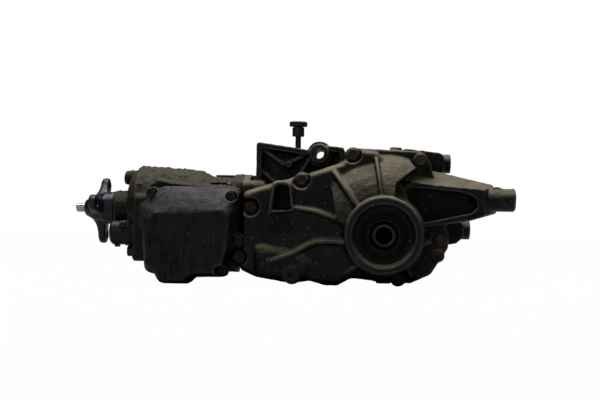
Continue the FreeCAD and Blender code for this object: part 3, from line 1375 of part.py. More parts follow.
def bevel_outline(teeth, mate_teeth, tooth_at_zero):
    """Polar points of a bevel gear on the plane through its pitch circle.

    The involute is drawn on the developed back cone and carried through the apex
    on to the plane at the gear's pitch distance, so that sections at other
    distances are the same outline scaled.
    """
    pitch_radius = BEVEL_MODULE * teeth / 2.0
    distance = BEVEL_MODULE * mate_teeth / 2.0
    cone = math.atan2(pitch_radius, distance)
    back_radius = pitch_radius / math.cos(cone)
    base = back_radius * math.cos(math.radians(FLANK_ANGLE))
    apex = distance + pitch_radius * math.tan(cone)

    def involute(radius):
        if radius <= base:
            return 0.0
        pressure = math.acos(base / radius)
        return math.tan(pressure) - pressure

    half = math.pi * BEVEL_MODULE / 4.0 / back_radius - BEVEL_BACKLASH / (4.0 * back_radius)
    radii = [back_radius - BEVEL_DEDENDUM, max(base, back_radius - BEVEL_DEDENDUM * 0.6), back_radius,
             back_radius + BEVEL_ADDENDUM]
    flank = []
    for radius in radii:
        turn = half + involute(back_radius) - involute(radius)
        if radius == radii[0]:
            turn = half + involute(back_radius)
        drop = apex - radius * math.sin(cone)
        flank.append((radius * math.cos(cone) * distance / drop, turn / math.cos(cone)))
    outline = []
    pitch = math.tau / teeth
    for i in range(teeth):
        middle = pitch * (i if tooth_at_zero else i + 0.5)
        outline.extend((radius, middle - turn) for radius, turn in flank)
        outline.extend((radius, middle + turn) for radius, turn in reversed(flank))
    return outline, distance, cone


def bevel_gear(teeth, mate_teeth, tooth_at_zero, back, hub_radius, hub_end, bore):
    """A bevel gear along +Z with its apex at the origin; back is where its rear face lies."""
    outline, distance, cone = bevel_outline(teeth, mate_teeth, tooth_at_zero)
    cone_length = distance / math.cos(cone)
    near = distance * (1.0 - BEVEL_FACE / cone_length) - 3.0
    far = distance + 6.0
    wires = []
    for level in (near, far):
        scale = level / distance
        points = [V(r * scale * math.cos(a), r * scale * math.sin(a), level) for r, a in outline]
        wires.append(Part.makePolygon(points + [points[0]]))
    toothed = Part.makeLoft(wires, True, True)
    pitch_radius = BEVEL_MODULE * teeth / 2.0
    inner_scale = 1.0 - BEVEL_FACE / cone_length
    lean = math.tan(cone)
    front = distance * inner_scale
    wide = pitch_radius + 6.0
    blank = turned_z([
        (front + pitch_radius * inner_scale * lean, 0.0),
        (front - 6.0 * lean, pitch_radius * inner_scale + 6.0),
        (distance - 6.0 * lean, wide),
        (distance + pitch_radius * lean * 0.45, pitch_radius * 0.55),
        (distance + pitch_radius * lean * 0.45, 0.0),
    ])
    body = toothed.common(blank)
    root_radius = pitch_radius - BEVEL_DEDENDUM / math.cos(cone)
    hub = turned_z([
        (front + 2.0, 0.0),
        (front + 2.0, root_radius * inner_scale),
        (distance, root_radius),
        (back, root_radius),
        (back, hub_radius),
        (hub_end, hub_radius),
        (hub_end, 0.0),
    ])
    hole = Part.makeCylinder(bore, 200.0, V(0, 0, -100))
    return fused([body, hub]).cut(hole)


def main():
    os.makedirs("parts", exist_ok=True)

    save("carrier_housing", carrier_housing())
    save("side_cover", side_cover())
    save("coupling_housing", coupling_housing())
    save("control_unit", control_unit())

    cover_face = PARTING_Y - COVER_RIM
    bolt = flange_bolt(COVER_RIM + COVER_BOLT_GRIP)
    save("cover_bolts", [stood_along(bolt, V(x, cover_face, z), V(0, -1, 0)) for x, z in COVER_BOLTS])

    mate_face = MATE_X - COUPLING_FLANGE
    bolt = flange_bolt(COUPLING_FLANGE + 20.0)
    save("coupling_bolts", [stood_along(bolt, V(mate_face, y, z), V(-1, 0, 0)) for y, z in mate_places()])

    bolt_y, bolt_z = SUMP_BOLT_PLACE
    bolt = flange_bolt(20.0)
    save("sump_bolt", stood_along(bolt, V(SUMP_BOLT_FACE, bolt_y, bolt_z), V(-1, 0, 0)))

    screw = cap_screw(UNIT_SCREW_SHANK, UNIT_SCREW_HEAD, UNIT_SCREW_HEIGHT, UNIT_SCREW_GRIP)
    seat_y = PAD_FACE_Y - UNIT_FLANGE - 6.0
    save("control_unit_screws", [stood_along(screw, V(x, seat_y, z), V(0, -1, 0)) for x, z in UNIT_SCREWS])

    motor_shell = turned_x([
        (MOTOR_FRONT, 0.0),
        (MOTOR_FRONT, MOTOR_RADIUS - 3.0),
        (MOTOR_FRONT + 3.0, MOTOR_RADIUS),
        (MOTOR_FACE - MOTOR_EAR, MOTOR_RADIUS),
        (MOTOR_FACE - MOTOR_EAR, MOTOR_FLANGE_RADIUS),
        (MOTOR_FACE, MOTOR_FLANGE_RADIUS),
        (MOTOR_FACE, MOTOR_RADIUS - MOTOR_WALL),
        (MOTOR_FRONT + 3.0, MOTOR_RADIUS - MOTOR_WALL),
        (MOTOR_FRONT + 3.0, 0.0),
    ], MOTOR_Y, MOTOR_Z)
    ears = []
    ear_holes = []
    for y, z in motor_screw_places():
        ears.append(bar_x(MOTOR_EAR + 1.5, MOTOR_FACE - MOTOR_EAR, MOTOR_FACE, y, z))
        ear_holes.append(bar_x(UNIT_SCREW_SHANK + SEAT_FIT, MOTOR_FACE - 9.0, MOTOR_FACE + 1.0, y, z))
    inside = bar_x(MOTOR_RADIUS - MOTOR_WALL, MOTOR_FACE - MOTOR_EAR - 1.0, MOTOR_FACE, MOTOR_Y, MOTOR_Z)
    tab = box(MOTOR_FACE - 18.0, MOTOR_FACE - 12.0, MOTOR_Y - 4.0, MOTOR_Y + 4.0,
              MOTOR_Z - MOTOR_RADIUS - 3.0, MOTOR_Z - MOTOR_RADIUS + 1.5)
    save("pump_motor", fused([motor_shell, tab] + [ear.cut(inside) for ear in ears]).cut(ear_holes))
    screw = cap_screw(UNIT_SCREW_SHANK, UNIT_SCREW_HEAD - 1.0, UNIT_SCREW_HEIGHT - 1.0, 14.0)
    face_x = MOTOR_FACE - MOTOR_EAR
    save("pump_motor_screws", [stood_along(screw, V(face_x, y, z), V(-1, 0, 0)) for y, z in motor_screw_places()])
    save("pump_rotor", turned_x([
        (MOTOR_FRONT + 3.5, 0.0),
        (MOTOR_FRONT + 3.5, MOTOR_SHAFT),
        (MOTOR_FRONT + 6.0, MOTOR_SHAFT),
        (MOTOR_FRONT + 6.0, MOTOR_ROTOR),
        (MOTOR_FACE - 4.0, MOTOR_ROTOR),
        (MOTOR_FACE - 4.0, MOTOR_SHAFT),
        (MOTOR_FACE + PUMP_START, MOTOR_SHAFT),
        (MOTOR_FACE + PUMP_START, PUMP_WHEEL),
        (MOTOR_FACE + PUMP_END, PUMP_WHEEL),
        (MOTOR_FACE + PUMP_END, 0.0),
    ], MOTOR_Y, MOTOR_Z))

    save("input_flange", input_flange())
    save("dust_shield", dust_shield())
    save("input_shaft", input_shaft())
    save("clutch_drum", clutch_drum())
    save("outer_plates", outer_plates())
    save("pressure_plate", pressure_plate())
    save("inner_plates", inner_plates())
    save("clutch_hub", clutch_hub())
    save("clutch_piston", clutch_piston())

    seal_back = NECK_FRONT + INPUT_SEAL_WIDTH
    save("input_seal", turned_x([
        (NECK_FRONT + 1.0, INPUT_SHAFT + SHAFT_FIT),
        (NECK_FRONT + 1.0, INPUT_SEAL_OUTER),
        (seal_back, INPUT_SEAL_OUTER),
        (seal_back, INPUT_SEAL_OUTER - 2.0),
        (NECK_FRONT + 4.0, INPUT_SEAL_OUTER - 2.0),
        (NECK_FRONT + 4.0, INPUT_SHAFT + SHAFT_FIT),
    ]))
    front = INPUT_BEARING_FRONT
    back = front + INPUT_BEARING_WIDTH
    save("input_bearing_outer", turned_x([
        (front, INPUT_BEARING_OUTER - 4.5), (front, INPUT_BEARING_OUTER),
        (back, INPUT_BEARING_OUTER), (back, INPUT_BEARING_OUTER - 4.5),
    ]))
    inner_top = INPUT_SHAFT + 4.0
    roller_radius = (INPUT_BEARING_OUTER - 4.5 - inner_top - RUNNING_GAP) / 2.0
    solids = [turned_x([
        (front, INPUT_SHAFT + SEAT_FIT), (front, inner_top), (back, inner_top), (back, INPUT_SHAFT + SEAT_FIT),
    ])]
    blank = many_sided(roller_radius, INPUT_BEARING_WIDTH - 4.0, ROLLER_SIDES)
    for i in range(ROLLER_COUNT):
        turn = math.tau * i / ROLLER_COUNT
        reach = inner_top + roller_radius + 0.05
        foot = V(front + 2.0, reach * math.cos(turn), PINION_OFFSET + reach * math.sin(turn))
        solids.append(stood_along(blank, foot, V(1, 0, 0)))
    save("input_bearing_inner", solids)

    save("pinion_shaft", pinion_shaft())
    cup, cone = taper_bearing(HEAD_BEARING_OUTER, PINION_SHAFT + SEAT_FIT, HEAD_BEARING_WIDTH,
                              V(HEAD_BEARING_END, 0, PINION_OFFSET), V(-1, 0, 0))
    save("pinion_head_cup", cup)
    save("pinion_head_cone", cone)
    cup, cone = taper_bearing(TAIL_BEARING_OUTER, PINION_TAIL + SEAT_FIT, TAIL_BEARING_WIDTH,
                              V(TAIL_BEARING_START, 0, PINION_OFFSET), V(1, 0, 0))
    save("pinion_tail_cup", cup)
    save("pinion_tail_cone", cone)
    nut = many_sided(PINION_NUT_RADIUS, PINION_NUT_THICK, 6)
    nut = nut.cut(Part.makeCylinder(PINION_TAIL + SEAT_FIT, PINION_NUT_THICK + 2.0, V(0, 0, -1)))
    save("pinion_nut", stood_along(nut, V(TAIL_BEARING_START - PINION_NUT_THICK, 0, PINION_OFFSET), V(1, 0, 0)))

    save("ring_gear", ring_gear())
    save("ring_gear_bolts", ring_bolts())
    save("differential_case", differential_case())
    save("cross_pin", bar_z(CROSS_PIN, -CASE_RADIUS + 0.5, CASE_RADIUS - 0.5, 0.0, 0.0))
    side_back = CASE_HALF - 4.5
    side_gear = bevel_gear(SIDE_TEETH, PLANET_TEETH, True, side_back, SIDE_HUB_RADIUS, SIDE_HUB_END, SIDE_SPLINE)
    planet = bevel_gear(PLANET_TEETH, SIDE_TEETH, False, 24.0, 8.0, 25.0, CROSS_PIN + SHAFT_FIT)
    far_turn = FreeCAD.Placement(V(0, 0, 0), FreeCAD.Rotation(V(1, 0, 0), -90))
    near_turn = FreeCAD.Placement(V(0, 0, 0), FreeCAD.Rotation(V(1, 0, 0), 90))
    for name, turn in (("side_gear_far", far_turn), ("side_gear_near", near_turn)):
        copy = side_gear.copy()
        copy.Placement = turn.multiply(FreeCAD.Placement(V(0, 0, 0), FreeCAD.Rotation(V(0, 0, 1), 90)))
        save(name, copy)
    reach = CASE_BORE - RUNNING_GAP
    levels = (8.0, 14.0, 19.0, 22.0, 24.5)
    curve = [(level, math.sqrt(reach ** 2 - level ** 2)) for level in levels]
    planet_limit = turned_z([(levels[0], 0.0)] + curve + [(levels[-1], 0.0)])
    upper = planet.common(planet_limit)
    save("planet_upper", upper.rotated(V(0, 0, 0), V(0, 0, 1), 90))
    lower = upper.rotated(V(0, 0, 0), V(0, 0, 1), 90).rotated(V(0, 0, 0), V(0, 1, 0), 180)
    save("planet_lower", lower)

    for name, side in (("near", -1.0), ("far", 1.0)):
        cup, cone = taper_bearing(BEARING_OUTER, BEARING_INNER + SEAT_FIT, BEARING_WIDTH,
                                  V(0, side * BEARING_START, 0), V(0, side, 0))
        save("bearing_cup_" + name, cup)
        save("bearing_cone_" + name, cone)
        mouth = OUTPUT_FACE - MOUTH_DEPTH
        back = mouth - SEAL_WIDTH
        save("output_seal_" + name, turned_y([
            (back, SEAL_LIP + 2.0),
            (back, SEAL_OUTER),
            (mouth, SEAL_OUTER),
            (mouth, SEAL_OUTER - 3.0),
            (mouth - 2.0, SEAL_OUTER - 4.0),
            (mouth - 2.0, SEAL_LIP),
            (mouth - 7.0, SEAL_LIP),
        ], side))

    plug_x, plug_z = PLUG_PLACE
    plug_y = PARTING_Y - COVER_PANEL - PLUG_BOSS_HEIGHT
    head = Part.makeCylinder(PLUG_BOSS_RADIUS - 1.0, PLUG_HEAD)
    socket = many_sided(4.6, PLUG_HEAD + 4.0, 6)
    socket.translate(V(0, 0, -4.0))
    plug = fused([head, Part.makeCylinder(PLUG_RADIUS, PLUG_LENGTH, V(0, 0, -PLUG_LENGTH))]).cut(socket)
    save("oil_plug", stood_along(plug, V(plug_x, plug_y, plug_z), V(0, -1, 0)))

    guide_low = GUIDE_Z - GUIDE_HEIGHT / 2.0
    guide_high = GUIDE_Z + GUIDE_HEIGHT / 2.0
    save("harness_guide", box(GUIDE_START, GUIDE_END, GUIDE_Y - GUIDE_WIDTH / 2.0, GUIDE_Y + GUIDE_WIDTH / 2.0,
                              guide_low, guide_high))

    for name, z, end in (("upper", UPPER_LUG_Z, UPPER_LUG_END), ("lower", LOWER_LUG_Z, LOWER_LUG_END)):
        tube = bar_x(SLEEVE_RADIUS, end - LUG_BOSS_LENGTH + 1.0, end + 0.5, LUG_Y, z)
        save("lug_sleeve_" + name, tube.cut(bar_x(SLEEVE_BORE, end - LUG_BOSS_LENGTH, end + 2.0, LUG_Y, z)))

    stem = turned_z([
        (BREATHER_SEAT - 10.0, 0.0),
        (BREATHER_SEAT - 10.0, BREATHER_STEM),
        (BREATHER_BODY_Z, BREATHER_STEM),
        (BREATHER_BODY_Z, BREATHER_BODY),
        (BREATHER_CAP_Z - 1.5, BREATHER_BODY),
        (BREATHER_CAP_Z - 1.5, 5.0),
        (BREATHER_TOP_Z - 1.7, 5.0),
        (BREATHER_TOP_Z - 1.7, 0.0),
    ], BREATHER_X, BREATHER_Y)
    save("breather_stem", stem)
    cap = turned_z([
        (BREATHER_CAP_Z, 9.5),
        (BREATHER_CAP_Z, BREATHER_CAP),
        (BREATHER_TOP_Z - 1.0, BREATHER_CAP),
        (BREATHER_TOP_Z, BREATHER_CAP - 1.0),
        (BREATHER_TOP_Z, 0.0),
        (BREATHER_TOP_Z - 1.6, 0.0),
        (BREATHER_TOP_Z - 1.6, 9.5),
    ], BREATHER_X, BREATHER_Y)
    save("breather_cap", cap)


main()
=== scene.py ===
import math
import random

import bmesh
import bpy
import numpy as np
from mathutils import Matrix, Vector, noise


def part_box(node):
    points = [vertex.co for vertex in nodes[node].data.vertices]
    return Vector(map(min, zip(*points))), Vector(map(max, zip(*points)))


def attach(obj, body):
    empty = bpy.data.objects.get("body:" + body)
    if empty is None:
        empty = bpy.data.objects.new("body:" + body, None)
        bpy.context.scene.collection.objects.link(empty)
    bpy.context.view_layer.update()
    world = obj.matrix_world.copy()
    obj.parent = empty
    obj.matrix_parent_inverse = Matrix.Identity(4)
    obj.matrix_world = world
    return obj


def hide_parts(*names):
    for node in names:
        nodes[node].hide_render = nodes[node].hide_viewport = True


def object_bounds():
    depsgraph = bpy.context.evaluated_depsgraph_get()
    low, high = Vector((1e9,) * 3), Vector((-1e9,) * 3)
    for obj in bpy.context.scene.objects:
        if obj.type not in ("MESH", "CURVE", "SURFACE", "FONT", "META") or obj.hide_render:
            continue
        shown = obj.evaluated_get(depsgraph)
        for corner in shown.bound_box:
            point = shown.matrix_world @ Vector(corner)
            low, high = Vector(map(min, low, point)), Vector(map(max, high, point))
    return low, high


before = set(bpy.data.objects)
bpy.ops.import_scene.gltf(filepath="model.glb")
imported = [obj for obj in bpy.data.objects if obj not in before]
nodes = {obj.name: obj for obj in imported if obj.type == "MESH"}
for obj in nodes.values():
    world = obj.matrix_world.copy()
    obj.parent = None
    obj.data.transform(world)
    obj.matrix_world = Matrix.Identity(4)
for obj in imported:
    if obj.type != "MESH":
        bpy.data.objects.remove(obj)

cad_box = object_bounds()
seal_low, seal_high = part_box("output_seal_near")
output_axis = Vector(((seal_low[0] + seal_high[0]) / 2.0, 0.0, (seal_low[2] + seal_high[2]) / 2.0))


# Carrier housing and side cover
# The two halves of the final-drive case are pressure die-cast aluminium, left raw. Only the joint faces
# and the bores are milled. Years under a car left oily dirt in blotches and dry road dust on top. The
# hollows are darkened with painted shade, and the arm's pocket, the arch and the bore are painted near
# black as shade.


def linear(code):
    """An sRGB hex colour as the linear RGBA that a shader socket takes."""
    values = []
    for place in (1, 3, 5):
        value = int(code[place:place + 2], 16) / 255.0
        values.append(value / 12.92 if value <= 0.04045 else ((value + 0.055) / 1.055) ** 2.4)
    return (*values, 1.0)


def add(tree, kind, settings=None, inputs=None):
    """A node with its settings; an input is a number, a colour or the socket that feeds it."""
    node = tree.nodes.new(kind)
    for name, value in (settings or {}).items():
        setattr(node, name, value)
    for key, value in (inputs or {}).items():
        if isinstance(value, bpy.types.NodeSocket):
            tree.links.new(value, node.inputs[key])
        else:
            node.inputs[key].default_value = value
    return node


def ramp(tree, value, start, end, low, high):
    """A value that runs from low to high while the given one runs from start to end, and stays beyond."""
    from_min, from_max, to_min, to_max = 1, 2, 3, 4
    return add(tree, "ShaderNodeMapRange", None,
               {0: value, from_min: start, from_max: end, to_min: low, to_max: high}).outputs[0]


def blend(tree, share, first, second):
    """A colour that goes from the first to the second while share goes from 0 to 1."""
    first_colour, second_colour, mixed_colour = 6, 7, 2
    mix = add(tree, "ShaderNodeMix", {"data_type": "RGBA"},
              {0: share, first_colour: first, second_colour: second})
    return mix.outputs[mixed_colour]


def reckon(tree, operation, first, second, clamp=False):
    """Two values put together by a Math node."""
    return add(tree, "ShaderNodeMath", {"operation": operation, "use_clamp": clamp},
               {0: first, 1: second}).outputs[0]


def mottle(tree, place, size, detail, roughness, distortion=0.0):
    """Noise of 0 to 1 with spots of the given size in metres."""
    return add(tree, "ShaderNodeTexNoise", None,
               {"Vector": place, "Scale": 1.0 / size, "Detail": detail, "Roughness": roughness,
                "Distortion": distortion}).outputs["Fac"]


def relief(tree, height, strength, distance, under=None):
    """A bumped normal from a height, on top of another one where that is given."""
    inputs = {"Height": height, "Strength": strength, "Distance": distance}
    if under is not None:
        inputs["Normal"] = under
    return add(tree, "ShaderNodeBump", None, inputs).outputs[0]


def blank_material(name):
    """A new material and its node tree, with nothing in it yet."""
    material = bpy.data.materials.new(name)
    material.use_nodes = True
    tree = material.node_tree
    tree.nodes.clear()
    return material, tree


def surfaced(material, tree, inputs, kind="ShaderNodeBsdfPrincipled"):
    """The material with a surface of these inputs as its output."""
    surface = add(tree, kind, None, inputs)
    add(tree, "ShaderNodeOutputMaterial", None, {"Surface": surface.outputs[0]})
    return material


def weathered_die_cast_aluminium(name, skin, worn, grime_and_shade, dust_and_highlight, dust_and_highlight_amount, speck_amount, streaks=0.0):
    """Raw die-cast aluminium after years of road dirt.

    The cast skin is a dull grey metal with a fine pitted grain. Painted shade darkens the hollows and oily
    dirt lies in blotches; both shine a little. Dust lies matt on whatever faces up; on the lid that upward
    layer is purple-grey and is a painted highlight. Where a point attribute marks a recess, the surface is
    painted near black as shade. Stone chips leave pale specks. streaks is how much dried mud hangs in
    upright streaks.
    """
    material, tree = blank_material(name)
    place = add(tree, "ShaderNodeTexCoord").outputs["Object"]
    geometry = add(tree, "ShaderNodeNewGeometry")
    clouds = mottle(tree, place, 0.070, 5.0, 0.62)
    stains = mottle(tree, place, 0.016, 7.0, 0.68, 0.7)
    # The grit of the cast skin is about 0.5 mm; it is drawn at 2 mm to show in the render.
    grit = mottle(tree, place, 0.0021, 4.0, 0.7)
    chips = add(tree, "ShaderNodeTexVoronoi", {"feature": "F1"},
                {"Vector": place, "Scale": 1.0 / 0.0052, "Randomness": 1.0})
    shade = add(tree, "ShaderNodeAmbientOcclusion", {"samples": 8}, {"Distance": 0.016}).outputs["AO"]
    facing_up = add(tree, "ShaderNodeSeparateXYZ", None, {0: geometry.outputs["Normal"]}).outputs["Z"]
    painted_pocket_shade = add(tree, "ShaderNodeAttribute", {"attribute_name": "painted_pocket_shade"}).outputs["Fac"]

    plain = blend(tree, ramp(tree, clouds, 0.34, 0.66, 0.0, 1.0), linear(skin[0]), linear(skin[1]))
    upright = add(tree, "ShaderNodeMapping", None, {"Vector": place, "Scale": (1.0, 1.0, 0.10)}).outputs[0]
    mud = ramp(tree, mottle(tree, upright, 0.005, 5.0, 0.7), 0.48, 0.68, 0.0, streaks)
    metal = blend(tree, mud, plain, linear("#4a4535"))
    edge = ramp(tree, geometry.outputs["Pointiness"], 0.505, 0.56, 0.0, 0.9)
    with_edges = blend(tree, reckon(tree, "MULTIPLY", edge, stains), metal, linear(worn))

    # Ambient occlusion darkens the hollows towards the near-black grime colour: this is painted shade.
    painted_hollow_shade = ramp(tree, shade, 0.98, 0.42, 0.0, 1.0)
    blotch = ramp(tree, stains, 0.40, 0.62, 0.0, 0.75)
    grime_and_shade_cover = reckon(tree, "MAXIMUM", painted_hollow_shade, blotch)
    with_grime_and_shade = blend(tree, grime_and_shade_cover, with_edges, linear(grime_and_shade))
    # The arm's pocket, the arch and the bore are painted near black (#020202) as shade.
    with_pocket_shade = blend(tree, painted_pocket_shade, with_grime_and_shade, linear("#020202"))

    # Upward faces take the dust colour: road dust on the case and the coupling, a painted highlight on the
    # lid.
    lying = reckon(tree, "MULTIPLY", ramp(tree, facing_up, 0.04, 0.70, 0.0, 1.0),
                   ramp(tree, clouds, 0.30, 0.62, 0.25, 1.0))
    broken = reckon(tree, "MULTIPLY", lying, ramp(tree, grit, 0.32, 0.60, 0.35, 1.0))
    upward_share = reckon(tree, "MULTIPLY", broken, dust_and_highlight_amount, clamp=True)
    dust_and_highlight_cover = reckon(tree, "MULTIPLY", upward_share, reckon(tree, "SUBTRACT", 1.0, painted_pocket_shade))
    with_dust_and_highlight = blend(tree, dust_and_highlight_cover, with_pocket_shade, linear(dust_and_highlight))

    chip = ramp(tree, chips.outputs["Distance"], 0.16, 0.10, 0.0, 1.0)
    rare = add(tree, "ShaderNodeSeparateColor", None, {0: chips.outputs["Color"]}).outputs[0]
    chosen = ramp(tree, rare, 1.0 - speck_amount, 1.0 - speck_amount + 0.02, 0.0, 0.7)
    colour = blend(tree, reckon(tree, "MULTIPLY", chip, chosen), with_dust_and_highlight, linear("#9a978c"))

    matt = ramp(tree, dust_and_highlight_cover, 0.0, 0.8, 0.40, 0.92)
    rough = reckon(tree, "ADD", matt, reckon(tree, "MULTIPLY", grime_and_shade_cover, -0.08), clamp=True)
    uneven = reckon(tree, "ADD", rough, ramp(tree, stains, 0.35, 0.65, 0.10, -0.12))
    gloss = reckon(tree, "ADD", uneven, reckon(tree, "MULTIPLY", painted_pocket_shade, 0.35), clamp=True)
    covered = reckon(tree, "MAXIMUM", reckon(tree, "MAXIMUM", dust_and_highlight_cover, grime_and_shade_cover), painted_pocket_shade)
    metallic = ramp(tree, covered, 0.0, 0.8, 0.75, 0.0)
    bump = relief(tree, stains, 0.5, 0.0025, relief(tree, grit, 0.8, 0.0009))
    return surfaced(material, tree, {"Base Color": colour, "Metallic": metallic, "Roughness": gloss,
                                     "Specular IOR Level": 0.22, "Normal": bump})


def relaxed(points, edges, weight, rounds):
    """Points eased towards their neighbours and back out again, which rounds edges and keeps the size."""
    inward, outward = 0.55, -0.57
    count = np.maximum(np.bincount(edges.ravel(), minlength=len(points)), 1).astype(float)
    for step in range(rounds * 2):
        total = np.zeros_like(points)
        np.add.at(total, edges[:, 0], points[edges[:, 1]])
        np.add.at(total, edges[:, 1], points[edges[:, 0]])
        push = inward if step % 2 == 0 else outward
        points = points + push * weight[:, None] * (total / count[:, None] - points)
    return points


def linked(name, mesh):
    """A new object round a mesh, in the scene."""
    piece = bpy.data.objects.new(name, mesh)
    bpy.context.scene.collection.objects.link(piece)
    return piece


def applied(piece):
    """The piece with its modifiers made real."""
    mesh = bpy.data.meshes.new_from_object(piece.evaluated_get(bpy.context.evaluated_depsgraph_get()))
    piece.modifiers.clear()
    piece.data = mesh
    return piece


def voxelled(piece, size):
    """The piece remade as one closed skin with a grain of the given size."""
    skin = piece.modifiers.new("skin", "REMESH")
    skin.mode = "VOXEL"
    skin.voxel_size = size
    return applied(piece)


def joined(piece, meshes):
    """The piece with the faces of more closed meshes in it; the next voxelled makes them one skin."""
    build = bmesh.new()
    build.from_mesh(piece.data)
    for mesh in meshes:
        build.from_mesh(mesh)
    build.to_mesh(piece.data)
    build.free()
    return piece


def cut(piece, meshes):
    """The piece with closed meshes taken out of it."""
    for mesh in meshes:
        cutter = linked("cutter", mesh)
        boolean = piece.modifiers.new("cut", "BOOLEAN")
        boolean.object = cutter
        boolean.operation = "DIFFERENCE"
        boolean.solver = "MANIFOLD"
        applied(piece)
        bpy.data.objects.remove(cutter)
    return piece


def cast_piece(node, voxel, rounds, wave, lumps=0.0, milled=None, reshape=None, added=(), removed=(),
               base=None, pocket_shaded=None):
    """A casting made from its CAD node: fillets on every edge, a slightly uneven skin, dirt crusts on top.

    voxel is the grain of the new mesh, rounds is how far the edges are rounded, wave is how far the skin
    wanders and lumps is the height of the crusts. milled gives 0 to 1 for how sharp a point must stay,
    reshape moves the points, and added and removed are closed meshes. base is a mesh to use for the node's.
    The last argument gives 0 to 1 for how far a point is painted near black as shade.
    """
    wave_rate, ripple_rate, crust_rate = 110.0, 420.0, 190.0
    ripple_share, crust_facing, crust_floor = 0.5, 0.35, 0.15
    piece = linked(node + "_cast", base or nodes[node].data.copy())
    voxelled(joined(piece, added), voxel)
    if removed:
        voxelled(cut(piece, removed), voxel)
    mesh = piece.data
    points = np.empty(len(mesh.vertices) * 3)
    mesh.vertices.foreach_get("co", points)
    points = points.reshape(-1, 3)
    if reshape:
        points = reshape(points)
    edges = np.empty(len(mesh.edges) * 2, dtype=np.int64)
    mesh.edges.foreach_get("vertices", edges)
    edges = edges.reshape(-1, 2)
    sharp = milled(points) if milled else np.zeros(len(points))
    points = relaxed(points, edges, 1.0 - sharp, rounds)
    mesh.vertices.foreach_set("co", points.ravel())
    mesh.update()
    normals = np.empty(len(mesh.vertices) * 3)
    mesh.vertex_normals.foreach_get("vector", normals)
    normals = normals.reshape(-1, 3)
    shift = np.zeros(len(points))
    for i, point in enumerate(points):
        spot = Vector(point)
        ripple = ripple_share * noise.noise(spot * ripple_rate)
        shift[i] = wave * (noise.noise(spot * wave_rate) + ripple) * (1.0 - sharp[i])
        if normals[i, 2] > crust_facing and lumps > 0.0:
            crust = max(0.0, noise.fractal(spot * crust_rate, 0.9, 2.1, 3) - crust_floor)
            shift[i] += lumps * crust * (normals[i, 2] - crust_facing) * (1.0 - sharp[i])
    points = points + normals * shift[:, None]
    mesh.vertices.foreach_set("co", points.ravel())
    mesh.polygons.foreach_set("use_smooth", [True] * len(mesh.polygons))
    # Points in the recesses are marked for near-black painted shade.
    if pocket_shaded:
        painted_pocket_shade = mesh.attributes.new("painted_pocket_shade", "FLOAT", "POINT")
        painted_pocket_shade.data.foreach_set("value", pocket_shaded(points))
    mesh.update()
    return piece


def finish_piece(piece, material, body, slot, *replaced):
    """Material, body and the CAD nodes that a piece stands for; slot is not used."""
    piece.data.materials.clear()
    piece.data.materials.append(material)
    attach(piece, body)
    if replaced:
        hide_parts(*replaced)


def milled_mouth(points):
    """0.9 on the turned faces round the output axis, 0 elsewhere on the casting."""
    mouth_radius, mouth_start, sharpness = 0.0455, 0.080, 0.9
    reach = np.hypot(points[:, 0] - output_axis.x, points[:, 2] - output_axis.z)
    near = (reach < mouth_radius) & (np.abs(points[:, 1]) > mouth_start)
    return near.astype(float) * sharpness


def at(x, y, z):
    """A point given in millimetres from the output axis, in the scene."""
    return Vector((output_axis.x + x / 1000.0, y / 1000.0, output_axis.z + z / 1000.0))


def outline(corners, inset=0.0):
    """A polygon's points, moved inwards by the inset. A corner is (x, z, radius of its rounding)."""
    corner_steps = 6
    count = len(corners)
    points = []
    for i, (x, z, radius) in enumerate(corners):
        corner = Vector((x, z))
        behind = corner - Vector(corners[i - 1][:2])
        beyond = Vector(corners[(i + 1) % count][:2]) - corner
        into, onward = behind.normalized(), beyond.normalized()
        here = corner + Vector((-into.y - onward.y, into.x + onward.x)) * (inset / (1.0 + into.dot(onward)))
        half_turn = into.angle(onward, 0.0) / 2.0
        reach = min(max(radius, 1.0) * math.tan(half_turn), 0.45 * min(behind.length, beyond.length))
        for step in range(corner_steps + 1):
            t = step / corner_steps
            points.append(here - into * reach * (1.0 - t) ** 2 + onward * reach * t ** 2)
    return points


def closed(rings):
    """A mesh through rings of as many points each, closed at both ends."""
    mesh = bpy.data.meshes.new("part")
    build = bmesh.new()
    loops = [[build.verts.new(point) for point in ring] for ring in rings]
    size = len(loops[0])
    for low_ring, high_ring in zip(loops, loops[1:]):
        for i in range(size):
            j = (i + 1) % size
            build.faces.new((low_ring[i], low_ring[j], high_ring[j], high_ring[i]))
    for ring in (loops[0], loops[-1]):
        build.faces.new(ring)
    bmesh.ops.triangulate(build, faces=build.faces[:])
    bmesh.ops.recalc_face_normals(build, faces=build.faces[:])
    build.to_mesh(mesh)
    build.free()
    return mesh


def slab(corners, *stations):
    """A rounded outline carried along Y through stations of (y, inset)."""
    return closed([[at(p.x, y, p.y) for p in outline(corners, inset)] for y, inset in stations])


def turned(profile, x=0.0, z=0.0, steps=96):
    """A turned body about an axis along Y; the profile is (y, radius)."""
    rings = []
    for y, radius in profile:
        rings.append([at(x + radius * math.cos(math.tau * i / steps), y,
                         z + radius * math.sin(math.tau * i / steps)) for i in range(steps)])
    return closed(rings)


def turned_bar(profile, y, z, steps=64):
    """A turned body about an axis along X; the profile is (x, radius)."""
    rings = []
    for x, radius in profile:
        rings.append([at(x, y + radius * math.cos(math.tau * i / steps),
                         z + radius * math.sin(math.tau * i / steps)) for i in range(steps)])
    return closed(rings)


